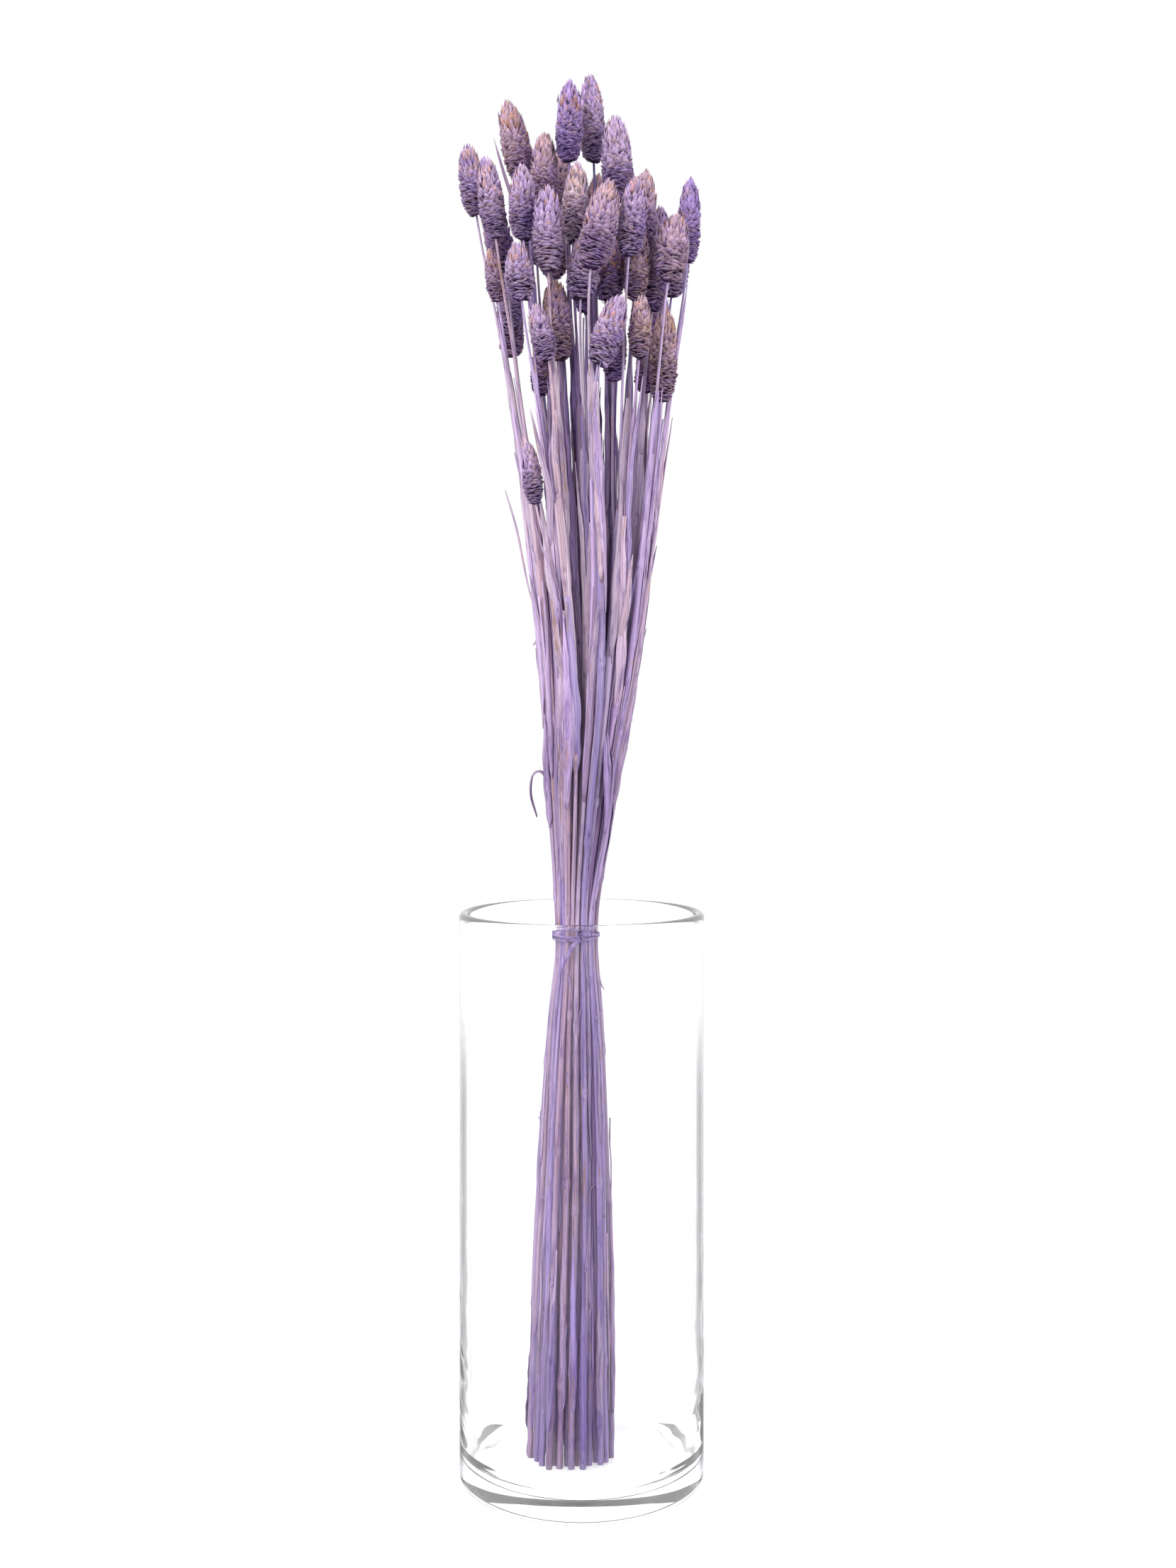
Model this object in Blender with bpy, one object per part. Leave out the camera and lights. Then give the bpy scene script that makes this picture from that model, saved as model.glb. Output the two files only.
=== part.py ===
"""Dried canary grass: a tied bunch of dyed seed heads standing in a clear glass vase.

Run it with blender --background --python part.py, or from the text editor. Lengths are in
millimetres until a mesh is made. +Z is up, the front is seen along +Y, and the origin is the
centre of the vase's foot, on the surface that the vase stands on.

Every stem is one solid: a culm from its cut end through the binding, the sheath of its top
leaf, the thin stalk above the sheath's mouth, and a seed head whose scales cover it. The
stems are first aimed at their heads and then settled sideways until none touches another.
"""

import math

import bmesh
import bpy
import numpy as np

MM = 0.001

# The vase, a straight cylinder with a heavy base
VASE_DIAMETER = 120.0
VASE_HEIGHT = 276.0
VASE_WALL = 5.0
VASE_BASE = 10.0
VASE_FOOT_CORNER = 5.0
VASE_INNER_CORNER = 6.0
VASE_SIDES = 40

# The bunch: where its middle runs at the binding and on the vase's floor, and how far it spreads
TIE_HEIGHT = 264.5
TIE_MIDDLE = (-2.8, 0.0)
FLOOR_MIDDLE = (-6.4, 0.0)
SPREAD_HEIGHTS = (10.0, 120.0, 225.0, 259.0)
SPREAD = (2.2, 1.87, 1.33, 1.0)
FLOOR_JITTER = 0.9
GAP = 0.3

# Culm radii from the cut end to the head, and the sheath's mouth
CUT_RADIUS = 1.3
TIED_RADIUS = 1.1
MOUTH_RADII = (1.5, 2.2)
MOUTH_SHARES = (0.55, 0.86)
STALK_RADIUS = 0.7
NECK_RADIUS = 0.55
MOUTH_LENGTH = 9.0
CULM_SIDES = 4
TIED_SPAN = (259.0, 270.0)
RISE_STEPS = (0.2, 0.42, 0.62, 0.82)
FAN_CURVE = 1.15
SWAY = (2.0, 5.0, 4.5, 2.0)

# The line of sight that the heads were measured along, from a point in front of the vase
VIEW_X = 3.1
VIEW_HEIGHT = 375.0
VIEW_DISTANCE = 876.0

# Heads that show in front: neck x and z, tip x and z, width, depth along +Y, and tint.
# x and z are where the head shows against the upright plane through the vase's axis.
FRONT_HEADS = (
    (-49, 617, -56, 652, 13.9, 6, "lilac"),
    (-41, 605, -47, 646, 13.5, -20, "lilac"),
    (-30, 631, -38, 673, 15.6, 8, "mauve"),
    (-29, 604, -30, 642, 14.6, -24, "lilac"),
    (-17, 618, -16, 658, 14.9, -4, "mauve"),
    (-8, 642, -6, 683, 13.9, -8, "violet"),
    (-4, 603, -2, 643, 14.2, -16, "pale"),
    (-18, 589, -17, 632, 16.0, -36, "lilac"),
    (6, 642, 4, 686, 13.9, 8, "lilac"),
    (18, 623, 16, 666, 16.6, -6, "lilac"),
    (5, 590, 14, 634, 18.0, -44, "mauve"),
    (24, 596, 27, 636, 14.6, -34, "lilac"),
    (33, 599, 32, 639, 13.9, -10, "mauve"),
    (-1, 575, 3, 609, 16.6, -26, "lilac"),
    (50, 593, 53, 635, 12.5, 4, "violet"),
    (42, 584, 47, 618, 17.3, -24, "mauve"),
    (39, 577, 41, 621, 14.6, 6, "lilac"),
    (32, 569, 36, 606, 12.5, -8, "dark"),
    (26, 574, 29, 611, 12.5, -20, "tan"),
    (14, 573, 16, 607, 15.3, -10, "dark"),
    (7, 543, 19, 578, 15.3, -44, "lilac"),
    (26, 546, 28, 578, 11.8, -32, "tan"),
    (39, 525, 41, 572, 14.6, -14, "tan"),
    (33, 529, 34, 555, 11.8, 4, "dark"),
    (-11, 545, -13, 586, 16.0, -20, "tan"),
    (-18, 545, -25, 574, 12.1, -38, "lilac"),
    (-26, 575, -30, 604, 14.6, -38, "lilac"),
    (-41, 574, -45, 601, 9.7, -12, "mauve"),
    (-38, 588, -48, 623, 14.6, 4, "dark"),
    (-17, 528, -13, 564, 12.5, -4, "dark"),
    (16, 535, 18, 566, 11.8, -24, "dark"),
    (-18, 475, -24, 506, 10.1, -30, "lilac"),
    (11, 385, 11, 415, 7.6, -14, "dark"),
)

# Heads behind them, as rows: depth, number, middle neck height
BACK_ROWS = ((19.0, 6, 600.0), (38.0, 5, 585.0))
BACK_HALF_WIDTH = 44.0
BACK_HEAD_LENGTH = 39.0
BACK_HEAD_WIDTH = 14.5

# Stems without a head: their tops, and the cut ends that stop above the vase's floor
PLAIN_STEMS = 12
PLAIN_TOPS = (395.0, 515.0)
PLAIN_FAN = 0.12
TOP_TAPER = 4.0
RAISED_ENDS = {7: 47.0, 30: 47.0, 45: 87.0}

# Leaf blades on the outer stems
BLADE_FAN = 0.085
BLADE_EVERY = 2
BLADE_ROOTS = (330.0, 450.0)
BLADE_LENGTHS = (42.0, 74.0)
BLADE_LEANS = (0.10, 0.17)
BLADE_BREADTHS = (3.2, 5.2)
BLADE_THICKNESS = 0.7
BLADE_ROOT_DEPTH = 8.0
BLADE_STEPS = (0.0, 0.16, 0.45, 0.75, 1.0)
BLADE_WIDTHS = (0.45, 0.8, 1.0, 0.7, 0.22)

# Blades that show on their own: stem number to root height, length, lean and breadth
PLACED_BLADES = {
    3: (584.0, 74.0, 0.10, 2.6),
    15: (312.0, 44.0, 0.10, 3.4),
    17: (392.0, 40.0, 0.12, 4.4),
}

# The curled blade at the left of the stems: points out from its stem and up, and its width
CURL_HEIGHT = 331.0
CURL_POINTS = ((0.0, -6.0), (0.8, 6.0), (4.5, 13.0), (8.5, 11.0), (9.5, 2.0), (6.5, -9.0))
CURL_WIDTHS = (1.6, 3.4, 3.6, 3.0, 2.4, 1.0)

# Seed head: scales round a row, rows to a length, and how far a scale stands out of the core
SCALES_ROUND = 6
SCALE_PITCH = 5.0
FEWEST_ROWS = 5
CORE_SHARE = 0.74
SCALE_LIFT = 0.85
SCALE_FLARE = 0.35
TOP_ROW = 0.94
CROWN_RADIUS = 0.9

# The binding: a cord wound in turns that lie on each other, with one loose end
CORD_WIDTH = 1.7
CORD_THICKNESS = 1.1
CORD_TURNS = 3
TIE_SIDES = 24
END_WIDTH = 2.6
END_POINTS = ((-80.0, 0.2, 0.0), (-100.0, 0.9, -5.0), (-116.0, 1.9, -13.0))

# Settling the stems
LEVELS = np.arange(276.0, 700.0, 6.0)
SETTLE_ROUNDS = 420
PULL_ROUNDS = 240
PULL = 0.03
PUSH = 1.25
HEAD_MARGIN = 0.5
BLADE_MARGIN = 0.3
KIN_REACH = 14.0

SEED = 41

# Colours as red, green and blue from 0 to 1, in linear light
TINTS = {
    "lilac": (0.36, 0.25, 0.43),
    "mauve": (0.38, 0.25, 0.36),
    "violet": (0.24, 0.13, 0.40),
    "pale": (0.52, 0.38, 0.42),
    "dark": (0.17, 0.10, 0.23),
    "tan": (0.42, 0.27, 0.24),
    "stem": (0.30, 0.23, 0.38),
}
TIE_COLOUR = (0.10, 0.07, 0.25)
GLASS_COLOUR = (0.90, 0.95, 0.94)


def clear_scene():
    """Removes every object of the open scene."""
    for thing in list(bpy.data.objects):
        bpy.data.objects.remove(thing, do_unlink=True)


def make_material(name, colour, roughness, clear=0.0):
    """A Principled material; clear is how much light goes through it."""
    material = bpy.data.materials.new(name)
    material.use_nodes = True
    shader = material.node_tree.nodes["Principled BSDF"]
    shader.inputs["Base Color"].default_value = (*colour, 1.0)
    shader.inputs["Roughness"].default_value = roughness
    shader.inputs["Metallic"].default_value = 0.0
    shader.inputs["Transmission Weight"].default_value = clear
    return material


def make_object(name, points, faces, material):
    """One object from points in millimetres, its faces turned outwards and shaded smooth."""
    mesh = bpy.data.meshes.new(name)
    mesh.from_pydata([tuple(MM * value for value in point) for point in points], [], faces)
    shape = bmesh.new()
    shape.from_mesh(mesh)
    bmesh.ops.recalc_face_normals(shape, faces=shape.faces)
    shape.to_mesh(mesh)
    shape.free()
    mesh.materials.append(material)
    thing = bpy.data.objects.new(name, mesh)
    bpy.context.scene.collection.objects.link(thing)
    return thing


def shade(thing, angle=40.0):
    """Shades it smooth, with creases sharper than the angle left sharp."""
    thing.data.shade_smooth()
    thing.data.set_sharp_from_angle(angle=math.radians(angle))


def fuse(body, extras):
    """Joins the extra solids to the body with one Boolean union, applied, and removes them."""
    group = bpy.data.collections.new(body.name + "_extras")
    for extra in extras:
        group.objects.link(extra)
    union = body.modifiers.new("Fuse", "BOOLEAN")
    union.operation = "UNION"
    union.operand_type = "COLLECTION"
    union.collection = group
    union.solver = "MANIFOLD"
    graph = bpy.context.evaluated_depsgraph_get()
    joined = bpy.data.meshes.new_from_object(body.evaluated_get(graph))
    body.modifiers.clear()
    body.data = joined
    for extra in extras:
        bpy.data.objects.remove(extra, do_unlink=True)
    bpy.data.collections.remove(group)


def arc(middle, radius, start, sweep, steps):
    """Points of an arc in the (radius, height) plane, from the angle start through the sweep."""
    angles = np.radians(start + sweep * np.arange(steps + 1) / steps)
    return [(middle[0] + radius * math.cos(a), middle[1] + radius * math.sin(a)) for a in angles]


def turned(profile, sides):
    """Points and faces of a profile of (radius, height) turned about Z; radius 0 ends it in a fan."""
    points, rings, faces = [], [], []
    for radius, height in profile:
        count = sides if radius > 0 else 1
        rings.append(range(len(points), len(points) + count))
        for side in range(count):
            angle = 2 * math.pi * side / sides
            points.append((radius * math.cos(angle), radius * math.sin(angle), height))
    for low, high in zip(rings, rings[1:]):
        for side in range(sides):
            after = (side + 1) % sides
            corners = [low[side % len(low)], low[after % len(low)]]
            corners += [high[after % len(high)], high[side % len(high)]]
            faces.append(tuple(dict.fromkeys(corners)))
    return points, faces


def build_vase():
    """The glass cylinder: a rounded foot, a rounded rim, and a rounded corner inside its base."""
    outer = VASE_DIAMETER / 2
    inner = outer - VASE_WALL
    lip = VASE_WALL / 2
    foot = (outer - VASE_FOOT_CORNER, VASE_FOOT_CORNER)
    hollow = (inner - VASE_INNER_CORNER, VASE_BASE + VASE_INNER_CORNER)
    profile = [(0.0, 0.0)]
    profile += arc(foot, VASE_FOOT_CORNER, -90, 90, 2)
    profile += arc((outer - lip, VASE_HEIGHT - lip), lip, 0, 180, 4)
    profile += arc(hollow, VASE_INNER_CORNER, 0, -90, 2)
    profile.append((0.0, VASE_BASE))
    points, faces = turned(profile, VASE_SIDES)
    shade(make_object("vase", points, faces, make_material("clear_glass", GLASS_COLOUR, 0.02, 1.0)))


def tie_seats(count):
    """Places for the stems in the binding: the points of a triangular lattice nearest its middle."""
    pitch = 2 * TIED_RADIUS + GAP
    reach = range(-count, count + 1)
    seats = [((a + 0.5 * b) * pitch, b * pitch * math.sqrt(0.75)) for a in reach for b in reach]
    seats = np.array(seats) + (0.31 * pitch, 0.17 * pitch)
    return seats[np.argsort(np.linalg.norm(seats, axis=1), kind="stable")[:count]]


def along_sight(x, y, z):
    """Moves a point that shows at (x, z) against the vase's axis to the depth y."""
    nearer = (VIEW_DISTANCE + y) / VIEW_DISTANCE
    return VIEW_X + (x - VIEW_X) * nearer, y, VIEW_HEIGHT + (z - VIEW_HEIGHT) * nearer


def list_heads(random):
    """Every head as (neck, tip, width, tint): those in front as measured, those behind by rows."""
    heads = []
    for neck_x, neck_z, tip_x, tip_z, width, depth, tint in FRONT_HEADS:
        neck, tip = along_sight(neck_x, depth, neck_z), along_sight(tip_x, depth, tip_z)
        heads.append((np.array(neck), np.array(tip), width, tint))
    for depth, count, height in BACK_ROWS:
        for place in np.linspace(-1, 1, count):
            x = place * BACK_HALF_WIDTH * (1.0 - depth / 160.0) + random.uniform(-4, 4)
            y = depth + random.uniform(-5, 5)
            z = height - 22.0 * place * place + random.uniform(-18, 18)
            length = BACK_HEAD_LENGTH + random.uniform(-6, 4)
            neck = np.array((x, y, z))
            tip = neck + length * np.array((0.12 * place + random.uniform(-0.05, 0.05), 0.09, 1.0))
            tint = random.choice(("lilac", "mauve", "dark", "tan"))
            heads.append((neck, tip, BACK_HEAD_WIDTH + random.uniform(-2.5, 1.5), str(tint)))
    return heads


def list_tops(random):
    """Tops of the stems that have no head, spread evenly over the inner part of the fan."""
    tops = []
    for number in range(PLAIN_STEMS):
        angle = number * 2.4
        slope = PLAIN_FAN * math.sqrt((number + 0.5) / PLAIN_STEMS)
        height = random.uniform(*PLAIN_TOPS)
        rise = height - TIE_HEIGHT
        neck = np.array((slope * math.cos(angle) * rise, slope * math.sin(angle) * rise, height))
        neck[:2] += TIE_MIDDLE
        tip = neck + TOP_TAPER * np.array((slope * math.cos(angle), slope * math.sin(angle), 1.0))
        tops.append((neck, tip, 0.0, "stem"))
    return tops


def pair_up(fans, seats):
    """Seats in the order of the stems, swapped by pairs until the stems fan out without crossing."""
    order = list(range(len(fans)))
    swapped = True
    while swapped:
        swapped = False
        for a in range(len(fans)):
            for b in range(a):
                gain = (fans[a] - fans[b]) @ (seats[order[b]] - seats[order[a]])
                if gain > 1e-6:
                    order[a], order[b] = order[b], order[a]
                    swapped = True
    return seats[order]


def head_swell(share):
    """Half width of a head at a share of its length: blunt at both ends, widest at two fifths."""
    return np.sin(math.pi * (0.1 + 0.86 * np.clip(share, 0, 1)) ** 0.8) ** 0.6


class Stem:
    """One stem: the heights of its stations, where it is aimed there, and its thickness."""

    def __init__(self, number, neck, tip, width, tint, seat, random):
        self.number, self.width, self.tint = number, width, tint
        self.foot = RAISED_ENDS.get(number, VASE_BASE + GAP)
        rise = neck[2] - TIED_SPAN[1]
        climb = [TIED_SPAN[1] + share * rise for share in RISE_STEPS]
        below = [self.foot, max(SPREAD_HEIGHTS[1], self.foot + 20), SPREAD_HEIGHTS[2]]
        self.heights = np.array([*below, *TIED_SPAN, *climb, neck[2], tip[2]])
        self.mouth = TIED_SPAN[1] + rise * random.uniform(*MOUTH_SHARES)
        self.sheath = random.uniform(*MOUTH_RADII)
        if number in PLACED_BLADES:
            self.mouth = PLACED_BLADES[number][0]
        tied = seat + TIE_MIDDLE
        self.aim = np.array([tied] * len(self.heights))
        spread = np.interp(self.heights[:3], SPREAD_HEIGHTS, SPREAD)
        sunk = (TIED_SPAN[0] - self.heights[:3]) / (TIED_SPAN[0] - SPREAD_HEIGHTS[0])
        jitter = random.uniform(-FLOOR_JITTER, FLOOR_JITTER, 2)
        drift = np.subtract(FLOOR_MIDDLE, TIE_MIDDLE) + jitter
        self.aim[:3] = seat * spread[:, None] + TIE_MIDDLE + sunk[:, None] * drift
        shares = np.array(RISE_STEPS)[:, None] ** FAN_CURVE
        self.aim[5:9] = tied + (neck[:2] - tied) * shares
        self.aim[5:9, 0] += SWAY
        self.aim[9], self.aim[10] = neck[:2], tip[:2]

    def radius(self, height):
        """The culm's radius by height, up to the neck."""
        knots = (self.foot, *TIED_SPAN, self.mouth, self.mouth + MOUTH_LENGTH, self.heights[9])
        radii = (CUT_RADIUS, TIED_RADIUS, TIED_RADIUS, self.sheath, STALK_RADIUS, NECK_RADIUS)
        return np.interp(height, knots, radii)

    def reach(self, height):
        """How far the stem or its head stands out from its line at each height."""
        neck, tip = self.heights[9:]
        head = self.width / 2 * head_swell((height - neck) / (tip - neck)) + HEAD_MARGIN
        if self.width == 0:
            return self.radius(height)
        return np.where(height < neck - SCALE_PITCH / 4, self.radius(height), head)


class Blade:
    """One leaf blade, aimed up and out from its stem."""

    def __init__(self, stem, root, length, lean, breadth):
        self.stem, self.breadth = stem, breadth
        self.heights = root + length * np.array(BLADE_STEPS)
        host = self.host_line(stem.aim)
        outward = host[-1] - TIE_MIDDLE
        outward /= np.linalg.norm(outward)
        self.aim = host + outward * (length * lean * np.array(BLADE_STEPS)[:, None] ** 1.2)

    def host_line(self, stations):
        """Where the stem runs at the blade's heights."""
        sides = [np.interp(self.heights, self.stem.heights, stations[:, axis]) for axis in (0, 1)]
        return np.stack(sides, axis=1)

    def reach(self, height):
        shares = (height - self.heights[0]) / (self.heights[-1] - self.heights[0])
        return self.breadth / 2 * np.interp(shares, BLADE_STEPS, BLADE_WIDTHS) + BLADE_MARGIN


def settle(stems, blades):
    """Pushes the stations of stems and blades sideways until their discs at each level stand apart.

    A line is straight between its stations, so the discs at a level move with the stations by
    their share there. A station takes the mean of the pushes that reach it. The binding's
    stations and those below it stay, and a blade's lowest station stays on its stem.
    """
    lines = [*stems, *blades]
    most = max(len(line.heights) for line in lines)
    weights = np.zeros((len(lines), len(LEVELS), most))
    at = np.zeros((len(lines), most, 2))
    free = np.zeros((len(lines), most, 1))
    for row, line in enumerate(lines):
        for column, unit in enumerate(np.eye(len(line.heights))):
            weights[row, :, column] = np.interp(LEVELS, line.heights, unit, left=0, right=0)
        at[row, : len(line.heights)] = line.aim
        free[row, 5 if row < len(stems) else 1 : len(line.heights)] = 1
    there = (weights.sum(2) > 0).T
    reach = np.stack([line.reach(LEVELS) for line in lines], axis=1)
    wanted = (reach[:, :, None] + reach[:, None] + GAP) * (there[:, :, None] & there[:, None])
    wanted[:, range(len(lines)), range(len(lines))] = 0
    for row, blade in enumerate(blades, start=len(stems)):
        host = stems.index(blade.stem)
        near = LEVELS < blade.heights[0] + KIN_REACH
        wanted[near, row, host] = wanted[near, host, row] = 0
    share = weights / np.maximum((weights**2).sum(2, keepdims=True), 1e-9)
    aim = at.copy()
    for step in range(SETTLE_ROUNDS):
        points = np.einsum("mks,msc->kmc", weights, at)
        apart = points[:, :, None] - points[:, None]
        distance = np.maximum(np.linalg.norm(apart, axis=3), 1e-6)
        short = np.clip(wanted - distance, 0, None)
        push = (apart * (short / distance / 2)[..., None]).sum(2)
        touched = (short > 0).any(2).astype(float)
        moved = np.einsum("mks,kmc->msc", share, push)
        heard = np.einsum("mks,km->ms", weights, touched)[..., None]
        at += free * PUSH * moved / np.maximum(heard, 1.0)
        if step < PULL_ROUNDS:
            at += free * PULL * (aim - at)
        for row, blade in enumerate(blades, start=len(stems)):
            host = at[stems.index(blade.stem)][: len(blade.stem.heights)]
            at[row, 0] = blade.host_line(host)[0]
    for row, line in enumerate(lines):
        line.line = at[row, : len(line.heights)]


def ring(points, middle, radius, sides, turn, across=((1, 0, 0), (0, 1, 0))):
    """Adds a ring of points and returns their numbers."""
    angles = turn + 2 * math.pi * np.arange(sides) / sides
    out = np.outer(np.cos(angles), across[0]) + np.outer(np.sin(angles), across[1])
    first = len(points)
    points.extend(np.asarray(middle) + radius * out)
    return list(range(first, first + sides))


def zip_rings(faces, low, high):
    """Triangles between two rings of unlike counts that start at about the same angle."""
    a = b = 0
    while a < len(low) or b < len(high):
        here, there = low[a % len(low)], high[b % len(high)]
        if b == len(high) or (a < len(low) and (a + 1) * len(high) <= (b + 1) * len(low)):
            a += 1
            faces.append((here, low[a % len(low)], there))
        else:
            b += 1
            faces.append((here, high[b % len(high)], there))


def add_head(points, faces, neck, tip, width, turn):
    """A seed head: a lattice of diamonds round a core, each raised to a keeled point.

    The rows stand half a step round from each other, so four neighbours bound a diamond.
    Its point lies out at the head's full width and up near the diamond's top corner.
    """
    axis = tip - neck
    length = np.linalg.norm(axis)
    axis = axis / length
    across = np.cross(axis, (0.0, 1.0, 0.0))
    across /= np.linalg.norm(across)
    frame = (across, np.cross(axis, across))
    rows = max(FEWEST_ROWS, round(length / SCALE_PITCH))
    shares = TOP_ROW * np.arange(rows + 1) / rows
    rings = []
    for row, share in enumerate(shares):
        radius = max(CORE_SHARE * width / 2 * float(head_swell(share)), CROWN_RADIUS)
        start = turn + math.pi * (row % 2) / SCALES_ROUND
        rings.append(ring(points, neck + axis * length * share, radius, SCALES_ROUND, start, frame))
    for row in range(rows):
        share = shares[row] + SCALE_LIFT * (shares[1] - shares[0])
        radius = width / 2 * float(head_swell(share)) + SCALE_FLARE
        start = turn + math.pi * (row % 2 + 1) / SCALES_ROUND
        peaks = ring(points, neck + axis * length * share, radius, SCALES_ROUND, start, frame)
        for side in range(SCALES_ROUND):
            left, right = rings[row][side], rings[row][(side + 1) % SCALES_ROUND]
            upper = rings[row + 1][(side + row % 2) % SCALES_ROUND]
            lower = rings[row - 1][(side + row % 2) % SCALES_ROUND]
            rim = [left, lower, right, upper] if row else [left, right, upper]
            faces.extend((a, b, peaks[side]) for a, b in zip(rim, rim[1:] + rim[:1]))
    crown = len(points)
    points.append(tip)
    for side in range(SCALES_ROUND):
        left, right = rings[-1][side], rings[-1][(side + 1) % SCALES_ROUND]
        faces.append((left, rings[-2][(side + rows % 2) % SCALES_ROUND], right))
        faces.append((left, right, crown))
    return rings[0]


def ribbon(name, middles, sideways, widths, material):
    """A closed flat strip: at each point a small rectangle, its width along the sideways vector."""
    points, faces = [], []
    for middle, side, width, ahead in zip(middles, sideways, widths, np.gradient(middles, axis=0)):
        thick = np.cross(side, ahead)
        thick *= BLADE_THICKNESS / 2 / np.linalg.norm(thick)
        wide = side * width / 2
        points += [middle - wide - thick, middle + wide - thick]
        points += [middle + wide + thick, middle - wide + thick]
    for low in range(0, len(points) - 4, 4):
        for a, b in ((0, 1), (1, 2), (2, 3), (3, 0)):
            corners = (low + a, low + b, low + 4 + b, low + 4 + a)
            flip = a == 2
            split = ((0, 1, 3), (1, 2, 3)) if flip else ((0, 1, 2), (0, 2, 3))
            faces += [tuple(corners[index] for index in three) for three in split]
    last = len(points) - 4
    faces += [(0, 3, 2), (0, 2, 1), (last, last + 1, last + 2), (last, last + 2, last + 3)]
    return make_object(name, points, faces, material)


def blade_solid(blade, material):
    """The blade as a strip; its root starts inside the stem, below where it leaves it."""
    host = blade.stem
    root = blade.heights[0] - BLADE_ROOT_DEPTH
    start = [np.interp(root, host.heights, host.line[:, axis]) for axis in (0, 1)]
    middles = np.column_stack([np.vstack([start, blade.line]), [root, *blade.heights]])
    outward = middles[-1, :2] - TIE_MIDDLE
    side = np.array((-outward[1], outward[0], 0.0)) / np.linalg.norm(outward)
    widths = blade.breadth * np.array([BLADE_WIDTHS[0], *BLADE_WIDTHS])
    return ribbon(f"blade_{host.number}", middles, [side] * len(middles), widths, material)


def curl_solid(host, material):
    """The dry blade that curls out, over and down beside the outermost stem at the left."""
    foot = [np.interp(CURL_HEIGHT, host.heights, host.line[:, axis]) for axis in (0, 1)]
    middles = np.array([(foot[0] - out, foot[1], CURL_HEIGHT + up) for out, up in CURL_POINTS])
    sideways = [np.array((0.0, 1.0, 0.0))] * len(middles)
    return ribbon("curl", middles, sideways, CURL_WIDTHS, material)


def build_stem(stem, blades, material, curled):
    """One stem: rings up the culm, then either its head or a tapered top, and its blades."""
    extra = np.array([stem.mouth, stem.mouth + MOUTH_LENGTH])
    heights = np.sort(np.concatenate([stem.heights[:-1], extra]))
    turn = 0.7 * stem.number
    points, faces, rings = [], [], []
    for height in heights:
        middle = [np.interp(height, stem.heights, stem.line[:, axis]) for axis in (0, 1)]
        rings.append(ring(points, (*middle, height), stem.radius(height), CULM_SIDES, turn))
    faces.append(tuple(rings[0]))
    for low, high in zip(rings, rings[1:]):
        zip_rings(faces, low, high)
    neck, tip = (np.array((*stem.line[i], stem.heights[i])) for i in (9, 10))
    if stem.width:
        zip_rings(faces, rings[-1], add_head(points, faces, neck, tip, stem.width, turn))
    else:
        points.append(tip)
        end = rings[-1]
        faces += [(a, b, len(points) - 1) for a, b in zip(end, end[1:] + end[:1])]
    thing = make_object(f"stem_{stem.number:02d}", points, faces, material)
    extras = [blade_solid(blade, material) for blade in blades]
    if curled:
        extras.append(curl_solid(stem, material))
    if extras:
        fuse(thing, extras)
    shade(thing)


def build_tie(stems):
    """The wound cord as one band with a hump for each turn, and the loose end that leaves it."""
    outermost = max(np.linalg.norm(stem.line[3] - TIE_MIDDLE) for stem in stems)
    inner = outermost + TIED_RADIUS + GAP
    low = TIE_HEIGHT - CORD_TURNS * CORD_WIDTH / 2
    profile = [(inner, low), (inner + CORD_THICKNESS / 2, low)]
    for hump in range(CORD_TURNS):
        profile.append((inner + CORD_THICKNESS, low + CORD_WIDTH * (hump + 0.5)))
        profile.append((inner + CORD_THICKNESS / 2, low + CORD_WIDTH * (hump + 1)))
    profile.append((inner, low + CORD_WIDTH * CORD_TURNS))
    points, faces = turned([*profile, profile[0]], TIE_SIDES)
    points, merged = points[:-TIE_SIDES], len(points) - TIE_SIDES
    faces = [tuple(i % merged for i in face) for face in faces]
    place = np.array((*TIE_MIDDLE, 0.0))
    material = make_material("dyed_raffia", TIE_COLOUR, 0.75)
    tie = make_object("tie", [place + point for point in points], faces, material)
    middles, sideways = [], []
    for bearing, out, up in END_POINTS:
        angle = math.radians(bearing)
        away = np.array((math.cos(angle), math.sin(angle), 0.0))
        middles.append(place + away * (inner + CORD_THICKNESS / 2 + out) + (0, 0, TIE_HEIGHT + up))
        sideways.append(np.array((math.sin(angle) * 0.5, -math.cos(angle) * 0.5, 0.85)))
    end = ribbon("end", np.array(middles), sideways, [END_WIDTH] * len(middles), material)
    fuse(tie, [end])
    shade(tie)


def plan_bunch():
    """All stems and blades, settled."""
    random = np.random.default_rng(SEED)
    members = list_heads(random) + list_tops(random)
    fans = np.array([(neck[:2] - TIE_MIDDLE) / (neck[2] - TIE_HEIGHT) for neck, *_ in members])
    seats = pair_up(fans, tie_seats(len(members)))
    stems = [
        Stem(number, *member, seat, random)
        for number, (member, seat) in enumerate(zip(members, seats), start=1)
    ]
    outer = [stem for stem, fan in zip(stems, fans) if np.linalg.norm(fan) > BLADE_FAN]
    blades = [Blade(stems[number - 1], *place) for number, place in PLACED_BLADES.items()]
    for stem in outer[::BLADE_EVERY]:
        root = min(random.uniform(*BLADE_ROOTS), stem.mouth)
        shape = [random.uniform(*span) for span in (BLADE_LENGTHS, BLADE_LEANS, BLADE_BREADTHS)]
        if stem.number not in PLACED_BLADES:
            blades.append(Blade(stem, root, *shape))
    settle(stems, blades)
    return stems, blades


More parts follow.
